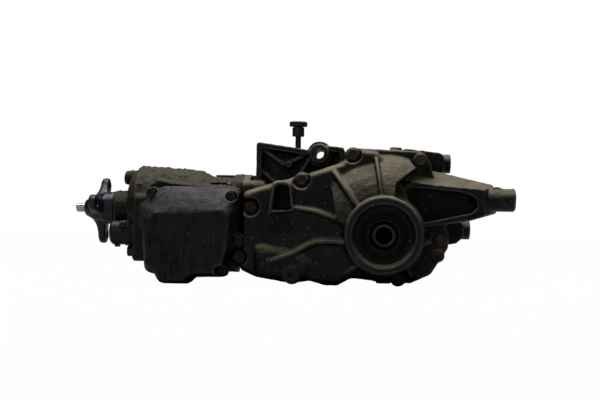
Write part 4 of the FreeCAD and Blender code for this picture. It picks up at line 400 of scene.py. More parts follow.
def ridge(line, foot_y, width):
    """A rib along a smooth line of (x, z, crest y), wider at its foot than at its crest."""
    steps, crest_bevel = 6, 0.8
    fine = []
    for i in range(len(line) - 1):
        start, end = Vector(line[i]), Vector(line[i + 1])
        before, after = Vector(line[max(i - 1, 0)]), Vector(line[min(i + 2, len(line) - 1)])
        for step in range(steps):
            t = step / steps
            fine.append(0.5 * (2.0 * start + (end - before) * t
                               + (2.0 * before - 5.0 * start + 4.0 * end - after) * t ** 2
                               + (3.0 * start - before - 3.0 * end + after) * t ** 3))
    fine.append(Vector(line[-1]))
    rings = []
    for i, point in enumerate(fine):
        ahead = fine[min(i + 1, len(fine) - 1)] - fine[max(i - 1, 0)]
        side = Vector((-ahead.y, ahead.x)).normalized()
        flank_y, shoulder_y = (foot_y + point.z) / 2.0, point.z + crest_bevel
        ring = []
        for share, y in ((1.0, foot_y), (0.62, flank_y), (0.42, shoulder_y), (0.0, point.z),
                         (-0.42, shoulder_y), (-0.62, flank_y), (-1.0, foot_y)):
            place = Vector((point.x, point.y)) + side * share * width
            ring.append(at(place.x, y, place.y))
        rings.append(ring)
    return closed(rings)


# Outlines in millimetres from the output axis, each corner as (x, z, radius of its rounding). rim is the
# flange of the joint, dish the flat wall over the pinion and pillow the bulge low down on it.
rim = [(-187.5, -47, 8), (-166, -56.5, 12), (-121, -64, 14), (-96, -60.5, 12), (-76, -66, 6), (-60, -66, 6),
       (-42, -56, 10), (5, -60.5, 8), (35, -61, 8), (61, -49, 12), (84, -15, 10), (84, 5, 10), (70, 35, 20),
       (60, 95, 12), (47, 110.5, 8), (-41, 113.5, 8), (-56, 95, 6), (-100, 79.5, 10), (-160, 62.5, 20),
       (-184.5, 54, 8)]
dish = [(-184, -43, 8), (-165, -54, 10), (-121, -61.5, 12), (-96, -58, 10), (-76, -63, 5), (-60, -63, 5),
        (-42, -53, 8), (0, -56, 8), (30, -40, 8), (45, 0, 8), (30, 60, 8), (-10, 108, 8), (-42, 111, 8),
        (-54, 93, 6), (-100, 77, 8), (-160, 60, 16), (-182, 52, 8)]
dome_edge = [(-60, 20, 6), (0, -10, 6), (12, 10, 6), (14, 66, 8), (46, 92, 8), (40, 107, 8), (-36, 110, 8),
             (-50, 96, 8), (-74, 84, 6)]
pillow = [(-165, -52, 10), (-125, -59, 10), (-100, -56, 10), (-92, -40, 12), (-100, -24, 12),
          (-132, -17, 12), (-168, -11, 9)]
arch = [(-151, 24.5, 2), (-114.5, 29, 2), (-119.5, 68.5, 10), (-144, 68.5, 10)]
arch_pocket = [(-143, 31, 1.5), (-120, 31.5, 1.5), (-123.5, 62.5, 5.5), (-139.5, 62.5, 5.5)]
arm_pocket = [(18, 52, 4), (20, 17, 4), (56, 18.5, 5), (80, 24, 5), (112, 31, 8), (121, 38, 8),
              (117, 52, 8), (98, 58, 8), (64, 61, 5), (33, 62.5, 5)]
small_pocket = [(4, 73.6, 1.5), (19, 62.2, 1.5), (38.9, 70.6, 1.5)]
gear_room = [(-178, -38, 8), (-160, -46, 10), (-121, -53, 12), (-96, -50, 10), (-70, -50, 5), (-40, -40, 8),
             (-30, -34, 4), (-30, 38, 4), (-52, 78, 6), (-100, 66, 8), (-158, 50, 12), (-174, 44, 8)]
plug_place = (-117.9, -52)
eye_axis = (-45, 49)
bolt_places = [(-173, 34.4), (-187.5, -30.7), (-107.9, 70.8), (-42.1, 104.5), (45.2, 99.5), (74.4, -4.1),
               (19.3, -55.5)]
joint_face, rim_face = -40.2, -50.0


def arm_beam():
    """The arm's beam: its near edge is lower than its far one, so its top slopes towards the viewer."""
    near = [(6, 16), (52, 11.5), (112, 21.5), (130, 27), (131, 62), (64, 67), (4, 76)]
    far = [(6, 16), (52, 11.5), (112, 21.5), (148, 32), (143, 69.5), (73, 85), (4, 97)]
    rings = []
    for y, share in ((-64.0, 0.0), (-62.0, 0.0), (-30.0, 1.0), (-28.0, 1.0)):
        rings.append([at(n[0] + (f[0] - n[0]) * share, y, n[1] + (f[1] - n[1]) * share)
                      for n, f in zip(near, far)])
    return closed(rings)


def cover_mesh():
    """The side cover: rim, dished pinion side, dome, ribs, arch, output boss and the long mounting arm."""
    grain = 0.0011
    bosses = [turned([(joint_face, 10.5), (rim_face, 10.5)], x, z, 40) for x, z in bolt_places]
    dome = linked("dome", turned([(-44, 106), (-52, 104), (-62, 99), (-73, 90), (-83, 78), (-90, 66),
                                    (-94, 54), (-95, 20)]))
    sector = linked("sector", slab(dome_edge, (-105, 0), (joint_face, 0)))
    clip = dome.modifiers.new("clip", "BOOLEAN")
    clip.object = sector
    clip.operation = "INTERSECT"
    clip.solver = "MANIFOLD"
    applied(dome)
    ribs = [
        ridge([(-40, 8, -90), (-52, 15, -85), (-62, 20, -81), (-82.5, 27.9, -78), (-100, 31.5, -76),
               (-116.4, 33.2, -75)], -64, 5.0),
        ridge([(-40, -13, -90), (-52, -10, -85), (-62, -9, -82), (-80.6, -9.2, -79), (-95, -13, -78.5),
               (-111.5, -22.1, -79), (-130, -30, -79), (-150, -36.8, -76)], -64, 5.5),
        ridge([(-28, 30, -102), (-33, 35, -101), (-50, 59, -93), (-62, 76, -80), (-67, 83, -69)], -62, 6.0),
        ridge([(-2, 44, -103), (-4, 52, -102), (-7, 72, -96), (-10, 90, -83), (-12, 101.5, -68)], -60, 5.0),
        ridge([(-24, -30, -92), (-38, -43, -80), (-52, -56, -64)], -60, 5.0),
        ridge([(20, -30, -92), (31, -44, -76), (38, -53, -60)], -50, 4.5),
        ridge([(36, -12, -90), (52, -10, -74), (66, -6, -56)], -50, 4.5),
    ]
    pinion_side = slab(dish, (-46, -0.5), (-62, 0.5), (-66, 1.8), (-68, 4.5))
    pinion_bulge = slab(pillow, (-64, 0), (-70, 1.5), (-73, 4), (-75, 9))
    arch_block = slab(arch, (-62, -1), (-72, 0.5), (-76, 1.5))
    plug_boss = turned([(-62, 13), (-70, 11.5), (-76, 11)], *plug_place, 40)
    boss_foot = turned([(-44, 60), (-52, 58), (-66, 55), (-80, 51), (-84, 50)])
    body = linked("body", slab(rim, (joint_face, 0), (-49.0, 0), (rim_face, 1.0)))
    joined(body, bosses + ribs + [pinion_side, dome.data, pinion_bulge, arch_block, plug_boss, arm_beam(),
                                  boss_foot])
    voxelled(body, grain)

    pockets = [slab(arm_pocket, (-66, -0.5), (-50.2, 1.5)), slab(small_pocket, (-66, -0.5), (-54, 1)),
               slab(arch_pocket, (-78, -1), (-52, 1))]
    cut(body, pockets + [turned([(-110, 12.0), (rim_face, 12.0)], x, z, 40) for x, z in bolt_places])
    output_boss = turned([(-44, 50), (-102.5, 50), (-105, 47.5)])
    rear_boss = turned([(-53, 7), (-51.5, 8.5), (joint_face, 9)], 71, -25, 40)
    arm_eye = turned_bar([(126, 10), (128, 14), (131, 15), (168.6, 15), (170.6, 13.2)], *eye_axis)
    arm_crest = slab([(130, 50, 1), (160, 50, 1), (152, 67.5, 4), (139, 67.5, 4)],
                     (-51.0, 1.5), (-39.0, 1.5))
    joined(body, bosses + [output_boss, rear_boss, arm_eye, arm_crest])
    voxelled(body, grain)

    room = linked("room", slab(gear_room, (-30, 0), (-59, 4)))
    cut(room, [turned([(-100, 16), (-20, 16)], x, z, 40) for x, z in bolt_places + [plug_place]]
        + [slab(arch, (-100, -2), (-20, -2))])
    bore = turned([(-36, 34.05), (-72, 34.05), (-72, 27), (-86, 27), (-86, 31.05), (-96, 31.05), (-96, 36),
                   (-103.5, 39.5), (-104.4, 40.4), (-107, 42)])
    cut(body, [room.data, turned([(-30, 46), (-57, 46)]), bore,
               turned([(-80, 8.65), (-38, 8.65)], *plug_place, 48),
               turned_bar([(110, 6.4), (173, 6.4)], *eye_axis, 48)]
        + [turned([(-52, 4.05), (-38, 4.05)], x, z, 32) for x, z in bolt_places])
    mesh = body.data.copy()
    for scrap in (dome, sector, body, room):
        bpy.data.objects.remove(scrap)
    return mesh


def within(places, corners, y0, y1, blur):
    """0 to 1 for how deep places lie inside a polygon in the XZ plane and between two Y values."""
    x, y, z = places
    depth = np.minimum(y - y0, y1 - y)
    for i, (cx, cz) in enumerate(corners):
        ex, ez = cx - corners[i - 1][0], cz - corners[i - 1][1]
        inside = (ex * (z - cz) - ez * (x - cx)) / math.hypot(ex, ez)
        depth = np.minimum(depth, inside)
    return np.clip(depth / blur, 0.0, 1.0)


def cover_pocket_shade(points):
    """How far points are painted near black as shade, 0 to 1: in the arm's pocket, in the arch and in the
    bore.
    """
    pocket_shade_strength, boss_radius, bore_radius, bore_start = 0.93, 50.5, 36.5, -30.0
    x = (points[:, 0] - output_axis.x) * 1000.0
    y = points[:, 1] * 1000.0
    z = (points[:, 2] - output_axis.z) * 1000.0
    reach = np.hypot(x, z)
    pocket = within((x, y, z), [(6, 62), (6, 14), (56, 15), (120, 29), (124, 50), (100, 60), (33, 66)],
                    -62.5, -20.0, 2.5) * (reach > boss_radius)
    niche = within((x, y, z), [(-146, 28), (-117, 28), (-121, 66), (-141, 66)], -74.0, -30.0, 3.0)
    bore = ((reach < bore_radius) & (y < bore_start)).astype(float)
    return np.maximum(np.maximum(pocket, niche), bore) * pocket_shade_strength


# The near-black grime colour also paints the shade in the hollows.
case_aluminium = weathered_die_cast_aluminium(
    "weathered die-cast aluminium case", skin=("#080a0b", "#24282a"), worn="#989690", grime_and_shade="#040403",
    dust_and_highlight="#82785f", dust_and_highlight_amount=1.05, speck_amount=0.34)
finish_piece(cast_piece("carrier_housing", 0.0013, 3, 0.00030, 0.0008, milled_mouth), case_aluminium,
             "housing", "housing_casting", "carrier_housing")
finish_piece(cast_piece("side_cover", 0.0012, 4, 0.00034, 0.0008, milled_mouth, base=cover_mesh(),
                        pocket_shaded=cover_pocket_shade), case_aluminium, "housing", "housing_casting", "side_cover")


# Coupling housing
# The clutch's housing is a separate die casting bolted to the front of the case. Its top lies flat, so
# it carries the thickest crust of dry dirt, with lumps of mud on it.
# The near-black grime colour also paints the shade in the hollows.
coupling_aluminium = weathered_die_cast_aluminium(
    "weathered die-cast aluminium coupling", skin=("#0c0c0a", "#26251f"), worn="#7b776c", grime_and_shade="#050504",
    dust_and_highlight="#4b4538", dust_and_highlight_amount=1.15, speck_amount=0.10)
shoulder = linked("shoulder", slab([(-302, 34, 4), (-190, 34, 4), (-190, 58, 5), (-215, 62, 8),
                                    (-262, 65, 10), (-302, 71, 8)],
                                   (-52, 3), (-47, 0), (-12, 0), (-6, 4)))
cut(shoulder, [turned_bar([(-340, 52.5), (-245, 52.5), (-236, 42), (-180, 42)], 0, 31)])
corner = linked("corner", slab([(-206, -51, 6), (-188.2, -51, 3), (-188.2, 20, 3), (-206, 20, 3)],
                               (-57, 1), (-36, 0)))
cut(corner, [turned([(-70, 12.0), (-50.6, 12.0), (-50.5, 10.8), (-20, 10.8)], *bolt_places[1], 40)])
top_boss = turned([(-60, 7), (-44, 8)], -299, 50, 40)
sump_step = slab([(-335, -80, 3), (-303, -80, 3), (-303, -38, 5), (-335, -38, 3)], (-70, 0), (60, 0))


def clods(seed, count):
    """Lumps of dried mud on the shoulder and on the top of the barrel, 2 to 7 mm across."""
    large_share, shoulder_share = 0.15, 0.6
    dice = random.Random(seed)
    mesh = bpy.data.meshes.new("clods")
    build = bmesh.new()
    for _ in range(count):
        size = dice.uniform(0.9, 2.4) * (1.6 if dice.random() < large_share else 1.0)
        x = dice.uniform(-322.0, -196.0)
        if dice.random() < shoulder_share:
            y = dice.uniform(-50.0, -10.0)
            z = 58.0 + (7.0 if x < -225.0 else 3.0) * dice.uniform(0.5, 1.1)
        else:
            turn = math.radians(dice.uniform(75.0, 135.0))
            reach = 56.0 - 0.05 * (x + 320.0) if x < -246.0 else 44.0
            y = reach * math.cos(turn)
            z = 31.0 + reach * math.sin(turn)
        stretch = (dice.uniform(0.8, 1.9), dice.uniform(0.8, 1.9), dice.uniform(0.5, 0.9))
        lie = Matrix.LocRotScale(at(x, y, z), Matrix.Rotation(dice.uniform(0.0, 3.1), 3, "Z"),
                                 Vector([size * value / 1000.0 for value in stretch]))
        bmesh.ops.create_icosphere(build, subdivisions=1, radius=1.0, matrix=lie)
    build.to_mesh(mesh)
    build.free()
    return mesh


finish_piece(cast_piece("coupling_housing", 0.0013, 3, 0.00055, 0.0036,
                        added=[shoulder.data, corner.data, top_boss, clods(seed=11, count=240)],
                        removed=[sump_step]),
             coupling_aluminium, "housing", "coupling_casting", "coupling_housing")
for scrap in (shoulder, corner):
    bpy.data.objects.remove(scrap)


# Control unit
# The electronics of the clutch sit under a die-cast aluminium lid with sloping sides. Its edges are
# rubbed paler, its upward-facing bevel carries a purple-grey painted highlight, and its face is wiped,
# with dirt left in streaks.
unit_foot = [(-284.6, -66, 4), (-252, -66, 4), (-246.4, -63.1, 4), (-240.6, -57.2, 4), (-205.8, -56.6, 6),
             (-199.5, -49.5, 6), (-200.5, -33.3, 6), (-195.9, -23, 6), (-183.3, -13.2, 4),
             (-182.9, -6.3, 4), (-186.4, 1.7, 5), (-187.3, 50.7, 5), (-191.7, 56.2, 6), (-212.4, 59.3, 8),
             (-282.1, 59.4, 8), (-297.1, 54.4, 6), (-301.7, 48.8, 5), (-306.3, 42.6, 5), (-315.3, 34.3, 5),
             (-318.1, 27.3, 6), (-317.8, 12.4, 6), (-312.4, 2.1, 8), (-308.5, -23.6, 8), (-307.5, -44.2, 6),
             (-304.6, -51.4, 6), (-293.1, -54.6, 4), (-289.3, -61.6, 4)]
unit_crease = [(-281, -62, 4), (-254, -62, 4), (-247, -55, 4), (-240, -52, 4), (-212, -51, 6),
               (-205, -42, 6), (-199, -18, 8), (-196.5, 10, 6), (-198, 26, 8), (-204, 31, 8),
               (-244, 27.5, 20), (-290, 26, 10), (-300.5, 16, 8), (-302.5, 0, 10), (-301, -31, 8),
               (-299, -45, 6), (-288, -50, 5), (-285, -57, 4)]
unit_screws = [(-196.2, 47.2), (-299.0, 50.0), (-207.0, -48.0), (-187.0, -8.5)]


def star(corners, centre):
    """An outline as points at even angles round a centre, so that two outlines can be joined by faces."""
    count = 220
    points = outline(corners)
    found = []
    for i in range(count):
        angle = math.tau * i / count
        ray = Vector((math.cos(angle), math.sin(angle)))
        reach = 0.0
        for start, end in zip(points, points[1:] + points[:1]):
            a, b = start - centre, end - centre
            side_a, side_b = ray.cross(a), ray.cross(b)
            if side_a * side_b <= 0.0 and side_a != side_b:
                hit = a + (b - a) * (side_a / (side_a - side_b))
                reach = max(reach, hit.dot(ray))
        found.append(centre + ray * reach)
    return found


def unit_mesh():
    """The lid: an upright foot, sides that lean in to a smaller face, and a recess over each screw."""
    grain = 0.0012
    centre = Vector((-248.0, -3.0))
    foot = star(unit_foot, centre)
    crease = star(unit_crease, centre)
    # Each station is its y, how far it has gone from foot to crease, and a further inset.
    stations = ((-60.0, 0.0, 0.0), (-66.0, 0.0, 0.0), (-68.0, 0.02, 0.6), (-76.0, 0.24, 0.0),
                (-84.0, 0.54, -0.6), (-91.0, 0.84, -0.4), (-94.2, 1.0, 0.6), (-95.0, 1.0, 3.0))
    rings = []
    for y, share, inset in stations:
        ring = []
        for low_point, high_point in zip(foot, crease):
            point = low_point + (high_point - low_point) * share
            point = point - (point - centre).normalized() * inset
            ring.append(at(point.x, y, point.y))
        rings.append(ring)
    lid = linked("lid", closed(rings))
    voxelled(joined(lid, [turned([(-60, 8.5), (-68.5, 8.0)], x, z, 40) for x, z in unit_screws]), grain)
    cut(lid, [turned([(-120, 6.9), (-66.0, 6.6)], x, z, 40) for x, z in unit_screws])
    mesh = lid.data.copy()
    bpy.data.objects.remove(lid)
    return mesh


# The lid's purple-grey dust colour is a painted highlight on its upward-facing bevel; its near-black grime
# colour also paints the shade in the hollows.
unit_aluminium = weathered_die_cast_aluminium(
    "weathered die-cast aluminium lid", skin=("#0a0a0a", "#1f1f1c"), worn="#9a98a2", grime_and_shade="#050504",
    dust_and_highlight="#4f4e53", dust_and_highlight_amount=0.62, speck_amount=0.06, streaks=0.5)
finish_piece(cast_piece("control_unit", 0.0012, 3, 0.00035, base=unit_mesh()), unit_aluminium, "housing",
             "unit_casting", "control_unit")


# Flange bolts
# M8 hexagon flange bolts of zinc-plated steel. The zinc is gone from the heads, which are brown
# and pitted with rust.


def rusted_bolt_steel():
    """Rust is matt and grainy, orange-brown where fresh and nearly black where it is old and oily."""
    material, tree = blank_material("zinc-plated steel gone to rust")
    place = add(tree, "ShaderNodeTexCoord").outputs["Object"]
    pointiness = add(tree, "ShaderNodeNewGeometry").outputs["Pointiness"]
    old = ramp(tree, mottle(tree, place, 0.006, 6.0, 0.7), 0.35, 0.65, 0.0, 1.0)
    rust = blend(tree, old, linear("#1a110a"), linear("#4c2f18"))
    colour = blend(tree, ramp(tree, pointiness, 0.52, 0.62, 0.0, 0.6), rust, linear("#6a5848"))
    # Rust scale is about 0.3 mm; it is drawn at 1 mm to show in the render.
    bump = relief(tree, mottle(tree, place, 0.001, 4.0, 0.75), 0.8, 0.0004)
    return surfaced(material, tree, {"Base Color": colour, "Metallic": 0.35, "Roughness": 0.62,
                                     "Normal": bump})


bolt_rust = rusted_bolt_steel()


def bolt_shape(points):
    """The cover bolts' heads are a little wider than their CAD twins, as rust has swollen them."""
    seat, head_radius, growth = -0.0502, 0.0115, 0.12
    moved = points.copy()
    head = points[:, 1] < seat
    for x, z in bolt_places:
        centre = at(x, 0.0, z)
        across = points[:, 0] - centre.x
        up = points[:, 2] - centre.z
        near = head & (np.hypot(across, up) < head_radius)
        moved[near, 0] += growth * across[near]
        moved[near, 2] += growth * up[near]
    return moved


for bolts, shape in (("cover_bolts", bolt_shape), ("coupling_bolts", None), ("sump_bolt", None)):
    finish_piece(cast_piece(bolts, 0.0006, 2, 0.00018, reshape=shape), bolt_rust, "housing",
                 "rusty_bolt_steel", bolts)


# Input flange and its dust shield
# The three-arm flange is a steel forging with a turned hub; the propeller shaft's joint bolts to it.
# Behind the hub runs a pressed ring that keeps dirt off the seal.


def dull_steel(name, dark, light, rust, rough, metallic, grain):
    """Bare steel that has dulled: blue-grey, half matt, with a little rust in patches.

    grain is the size in metres of the marks that forging, turning or drawing left.
    """
    material, tree = blank_material(name)
    place = add(tree, "ShaderNodeTexCoord").outputs["Object"]
    pointiness = add(tree, "ShaderNodeNewGeometry").outputs["Pointiness"]
    tone = mottle(tree, place, 0.012, 6.0, 0.65)
    metal = blend(tree, tone, linear(dark), linear(light))
    with_rust = blend(tree, ramp(tree, tone, 0.54, 0.66, 0.0, 0.7), metal, linear(rust))
    colour = blend(tree, ramp(tree, pointiness, 0.52, 0.60, 0.0, 0.5), with_rust, linear("#8f9196"))
    bump = relief(tree, mottle(tree, place, grain, 3.0, 0.6), 0.4, 0.0003)
    return surfaced(material, tree, {"Base Color": colour, "Metallic": metallic, "Roughness": rough,
                                     "Normal": bump})


forged_steel = dull_steel("forged steel, dull", "#1d2024", "#34383e", "#2a2019", 0.38, 0.8, 0.0015)


def flange_mesh():
    """The hub with its nose, and three arms that curve forward and end in bored eyes."""
    axis = (0, 31)
    arm_steps, squareness, first_arm = 24, 0.55, 171.0
    hub = [(-402.9, 8.8), (-401.5, 10.5), (-397, 13), (-393, 15.5), (-389, 18), (-380, 19.5), (-376, 21.6),
           (-364.0, 21.6)]
    # Each station of an arm is its distance from the axis, half its width, and its front and back x.
    stations = ((4, 12, -396, -372), (14, 11.5, -393, -371), (20, 11, -390, -373),
                (26, 10.5, -388.5, -375.5), (32, 10.5, -388, -376.5), (39, 11, -388, -376.8),
                (44, 9.5, -387.6, -377), (48, 6.2, -386.8, -377.8), (50, 2.5, -385.6, -379))
    arms = []
    eyes = []
    for arm in range(3):
        turn = math.radians(first_arm + 120.0 * arm)
        outward = Vector((math.cos(turn), math.sin(turn)))
        across = Vector((-outward.y, outward.x))
        rings = []
        for reach, half_width, front, back in stations:
            ring = []
            for i in range(arm_steps):
                angle = math.tau * i / arm_steps
                wide = math.copysign(abs(math.cos(angle)) ** squareness, math.cos(angle)) * half_width
                deep = (math.copysign(abs(math.sin(angle)) ** squareness, math.sin(angle))
                        * (back - front) / 2.0)
                place = outward * reach + across * wide
                ring.append(at((front + back) / 2.0 + deep, axis[0] + place.x, axis[1] + place.y))
            rings.append(ring)
        arms.append(closed(rings))
        eye = outward * 39.0
        eyes.append(turned_bar([(-395, 5.3), (-370, 5.3)], axis[0] + eye.x, axis[1] + eye.y, 32))
    body = linked("flange", turned_bar(hub, *axis))
    voxelled(joined(body, arms), 0.0009)
    cut(body, eyes + [turned_bar([(-393, 12.6), (-363, 12.6)], *axis),
                      turned_bar([(-405, 5.5), (-392, 5.5)], *axis, 32)])
    mesh = body.data.copy()
    bpy.data.objects.remove(body)
    return mesh


finish_piece(cast_piece("input_flange", 0.0009, 2, 0.00015, base=flange_mesh()), forged_steel, "input",
             "flange_steel", "input_flange")
finish_piece(cast_piece("dust_shield", 0.0005, 1, 0.0), forged_steel, "input", "flange_steel",
             "dust_shield")


# Input shaft and the other turned steel parts
# The pilot at the shaft's tip is ground bright. The gears, bearings and clutch parts inside are
# turned, ground or stamped steel, wet with oil.


def oiled_steel(name, dark, light, rough):
    """Machined steel in oil: bright, with soft bands from the tool and a slightly brown film."""
    material, tree = blank_material(name)
    place = add(tree, "ShaderNodeTexCoord").outputs["Object"]
    film = mottle(tree, place, 0.009, 4.0, 0.5)
    colour = blend(tree, film, linear(dark), linear(light))
    gloss = ramp(tree, film, 0.3, 0.7, rough - 0.06, rough + 0.10)
    # Tool marks are about 0.1 mm apart; they are drawn at 0.6 mm to show in the render.
    bump = relief(tree, mottle(tree, place, 0.0006, 1.0, 0.5), 0.15, 0.0001)
    return surfaced(material, tree, {"Base Color": colour, "Metallic": 1.0, "Roughness": gloss,
                                     "Normal": bump})


def dress(material, *names):
    """Puts a material on CAD nodes that stay as they are."""
    for name in names:
        for place in nodes[name].material_slots:
            place.material = material


ground_steel = oiled_steel("ground steel", "#8d8d8b", "#b9b8b4", 0.25)
gear_steel = oiled_steel("case-hardened gear steel", "#57544f", "#7a766f", 0.30)
plate_steel = oiled_steel("stamped clutch plate steel", "#4b4640", "#6a645b", 0.38)
case_iron = oiled_steel("spheroidal cast iron", "#0d0c0b", "#1b1917", 0.50)
turned_aluminium = oiled_steel("turned aluminium", "#9b9b99", "#bcbbb7", 0.34)
dress(ground_steel, "input_shaft", "cross_pin", "pinion_nut", "ring_gear_bolts", "clutch_hub",
      "pump_rotor", "input_bearing_outer", "input_bearing_inner", "pinion_head_cup", "pinion_head_cone",
      "pinion_tail_cup", "pinion_tail_cone", "bearing_cup_near", "bearing_cup_far", "bearing_cone_near",
      "bearing_cone_far")
dress(gear_steel, "pinion_shaft", "ring_gear", "side_gear_near", "side_gear_far", "planet_upper",
      "planet_lower")
dress(plate_steel, "clutch_drum", "outer_plates", "inner_plates", "pressure_plate")
dress(case_iron, "differential_case")
dress(turned_aluminium, "clutch_piston")


# Core plugs of the side gears
# A steel cup pressed into each side gear's bore keeps the case's oil in when a shaft is out. It is dished
# and closes the view through the differential. Its near-black iron colour is painted shade for the depth of
# the bore.
cup_profile = [(30.0, 11.2), (25.5, 11.2), (24.6, 10.2), (24.2, 6.0), (24.0, 0.3), (24.9, 0.3), (25.1, 6.0),
               (25.6, 9.6), (26.4, 10.4), (30.0, 10.4)]
for side, body, plug_name in ((-1.0, "side_near", "core_plug_near"), (1.0, "side_far", "core_plug_far")):
    cup = linked(plug_name, turned([(side * y, radius) for y, radius in cup_profile], steps=64))
    finish_piece(cup, case_iron, body, "gear_steel")


# Pump motor
# A small electric motor drives the clutch's oil pump. Its can is drawn steel, dull and grey, held
# by two screws through ears.
drawn_steel = dull_steel("drawn steel can, dull", "#15171a", "#26282c", "#221b15", 0.42, 0.75, 0.002)
finish_piece(cast_piece("pump_motor", 0.0007, 2, 0.00006), drawn_steel, "housing", "motor_can_steel",
             "pump_motor")


# Screws, plug and lug sleeves
# The small screws and the plug are coated dark. The sleeves in the rear lugs are drawn tube with
# light rust.


def screw_shape(points):
    """The control unit's front upper screw sits at the corner of the lid, above its CAD twin."""
    x, z, reach = -301.4, 24.0, 0.009
    twin = at(x, 0.0, z)
    near = np.hypot(points[:, 0] - twin.x, points[:, 2] - twin.z) < reach
    return points + near[:, None] * np.array([0.0024, 0.0, 0.026])


coated_steel = dull_steel("phosphated steel", "#0d0c0b", "#1a1917", "#1b150f", 0.48, 0.6, 0.001)
for small, shape in (("control_unit_screws", screw_shape), ("pump_motor_screws", None), ("oil_plug", None)):
    finish_piece(cast_piece(small, 0.0004, 1, 0.00004, reshape=shape), coated_steel, "housing",
                 "screw_steel", small)
tube_steel = dull_steel("drawn tube, light rust", "#4a443d", "#63594d", "#57391f", 0.55, 0.7, 0.001)
dress(tube_steel, "lug_sleeve_upper", "lug_sleeve_lower")


# Seals
# The lip seals of the outputs and the input are black nitrile rubber, wet with oil.


def nitrile_rubber(name, rough):
    """Black rubber with a fine moulded grain; the oil on it leaves a soft shine."""
    material, tree = blank_material(name)
    place = add(tree, "ShaderNodeTexCoord").outputs["Object"]
    smear = mottle(tree, place, 0.005, 4.0, 0.6)
    colour = blend(tree, smear, linear("#010101"), linear("#060505"))
    gloss = ramp(tree, smear, 0.3, 0.7, rough - 0.08, rough + 0.15)
    bump = relief(tree, smear, 0.3, 0.0002)
    return surfaced(material, tree, {"Base Color": colour, "Roughness": gloss, "Specular IOR Level": 0.15,
                                     "Normal": bump})


oily_rubber = nitrile_rubber("moulded nitrile rubber, oily", 0.22)
dress(oily_rubber, "output_seal_near", "output_seal_far", "input_seal")


# Breather and harness guide
# Both are black polyamide, moulded. The guide is a bar clipped along the top of the coupling; the
# breather is pushed into the bracket and ends in a flat cap.


def moulded_polyamide(name, dark, light, rough):
    """Black moulded nylon: half gloss in uneven patches, scuffed paler on its edges."""
    material, tree = blank_material(name)
    place = add(tree, "ShaderNodeTexCoord").outputs["Object"]
    pointiness = add(tree, "ShaderNodeNewGeometry").outputs["Pointiness"]
    dull = mottle(tree, place, 0.008, 5.0, 0.6)
    plain = blend(tree, dull, linear(dark), linear(light))
    colour = blend(tree, ramp(tree, pointiness, 0.52, 0.62, 0.0, 0.35), plain, linear("#5f6063"))
    gloss = ramp(tree, dull, 0.35, 0.65, rough, rough + 0.25)
    bump = relief(tree, dull, 0.2, 0.0002)
    return surfaced(material, tree, {"Base Color": colour, "Roughness": gloss, "Normal": bump})


black_polyamide = moulded_polyamide("moulded polyamide, black", "#030304", "#0c0c0e", 0.38)
for plastic, body, grain, rounds in (("harness_guide", "housing", 0.0006, 2),
                                     ("breather_stem", "housing", 0.0004, 1),
                                     ("breather_cap", "cap", 0.0004, 1)):
    finish_piece(cast_piece(plastic, grain, rounds, 0.0), black_polyamide, body, "black_plastic", plastic)


# Floor
# A plain white sheet under and far behind the object. The camera sees it nearly white.
ground = cad_box[0][2]
floor_mesh = bpy.data.meshes.new("floor")
floor_mesh.from_pydata([(-6, -4, ground), (6, -4, ground), (6, 9, ground), (-6, 9, ground)], [],
                       [(0, 1, 2, 3)])
floor = bpy.data.objects.new("floor", floor_mesh)
bpy.context.scene.collection.objects.link(floor)


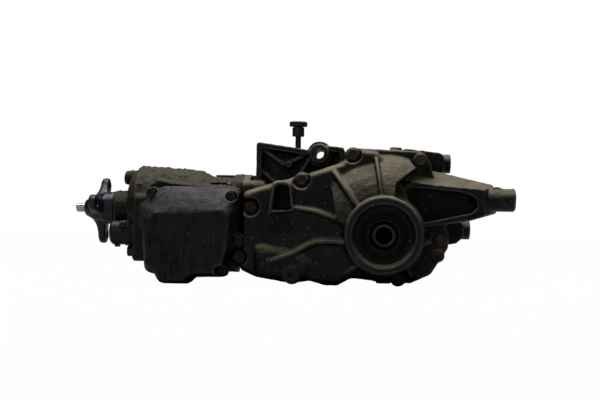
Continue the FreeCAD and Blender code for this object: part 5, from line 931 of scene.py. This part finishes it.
def white_paper():
    """Matt white paper. Seen by the camera it is lifted nearly to white, and keeps a faint shadow."""
    lift = 0.985
    material, tree = blank_material("matt white paper")
    path = add(tree, "ShaderNodeLightPath")
    seen = reckon(tree, "MAXIMUM", path.outputs["Is Camera Ray"], path.outputs["Is Transmission Ray"])
    fibre = add(tree, "ShaderNodeTexNoise", None, {"Scale": 40.0, "Detail": 3.0}).outputs["Fac"]
    tone = blend(tree, fibre, linear("#a2a2a2"), linear("#a8a8a8"))
    paper = add(tree, "ShaderNodeBsdfDiffuse", None, {"Color": tone}).outputs[0]
    white = add(tree, "ShaderNodeEmission", None, {"Color": linear("#ffffff"), "Strength": 1.0}).outputs[0]
    return surfaced(material, tree, {0: reckon(tree, "MULTIPLY", seen, lift), 1: paper, 2: white},
                    "ShaderNodeMixShader")


floor.data.materials.append(white_paper())


# Light
# A wide softbox overhead does most of the work, with a weak fill from the camera's side. The room itself
# is white to the camera and dim to everything else.
room_light = 0.06
world = bpy.data.worlds.new("white room")
bpy.context.scene.world = world
world.use_nodes = True
tree = world.node_tree
tree.nodes.clear()
path = add(tree, "ShaderNodeLightPath")
seen = reckon(tree, "MAXIMUM", path.outputs["Is Camera Ray"], path.outputs["Is Transmission Ray"])
strength = reckon(tree, "MAXIMUM", seen, room_light)
room = add(tree, "ShaderNodeBackground", None, {"Color": linear("#ffffff"), "Strength": strength})
add(tree, "ShaderNodeOutputWorld", None, {"Surface": room.outputs[0]})


def softbox(name, place, aim, width, height, watts):
    """A rectangular area lamp at a place, turned to face a point."""
    lamp = bpy.data.lights.new(name, "AREA")
    lamp.shape = "RECTANGLE"
    lamp.size = width
    lamp.size_y = height
    lamp.energy = watts
    holder = bpy.data.objects.new(name, lamp)
    holder.location = place
    holder.rotation_euler = (aim - place).to_track_quat("-Z", "Y").to_euler()
    bpy.context.scene.collection.objects.link(holder)


middle = output_axis + Vector((-0.11, 0.0, 0.03))
softbox("overhead softbox", output_axis + Vector((-0.15, 0.15, 1.5)), middle, 1.5, 0.9, 36.0)
softbox("front fill", output_axis + Vector((-0.5, -1.6, 0.7)), middle, 1.0, 0.8, 3.0)


# Camera
# It stands level with the output axis, 1.4 m in front of it, and looks straight at the near side, rolled
# by one degree. Its frame is shifted, because the photo is cut from the corner of a wider picture.
camera_data = bpy.data.cameras.new("camera")
camera_data.sensor_width = 36.0
camera_data.lens = 62.2
camera_data.shift_x = -0.14
camera_data.shift_y = 0.0533
camera = bpy.data.objects.new("camera", camera_data)
camera.location = output_axis + Vector((0.0, -1.4, 0.005))
camera.rotation_euler = (math.radians(90.0), math.radians(-1.0), 0.0)
bpy.context.scene.collection.objects.link(camera)
bpy.context.scene.camera = camera
bpy.context.scene.view_settings.view_transform = "Standard"
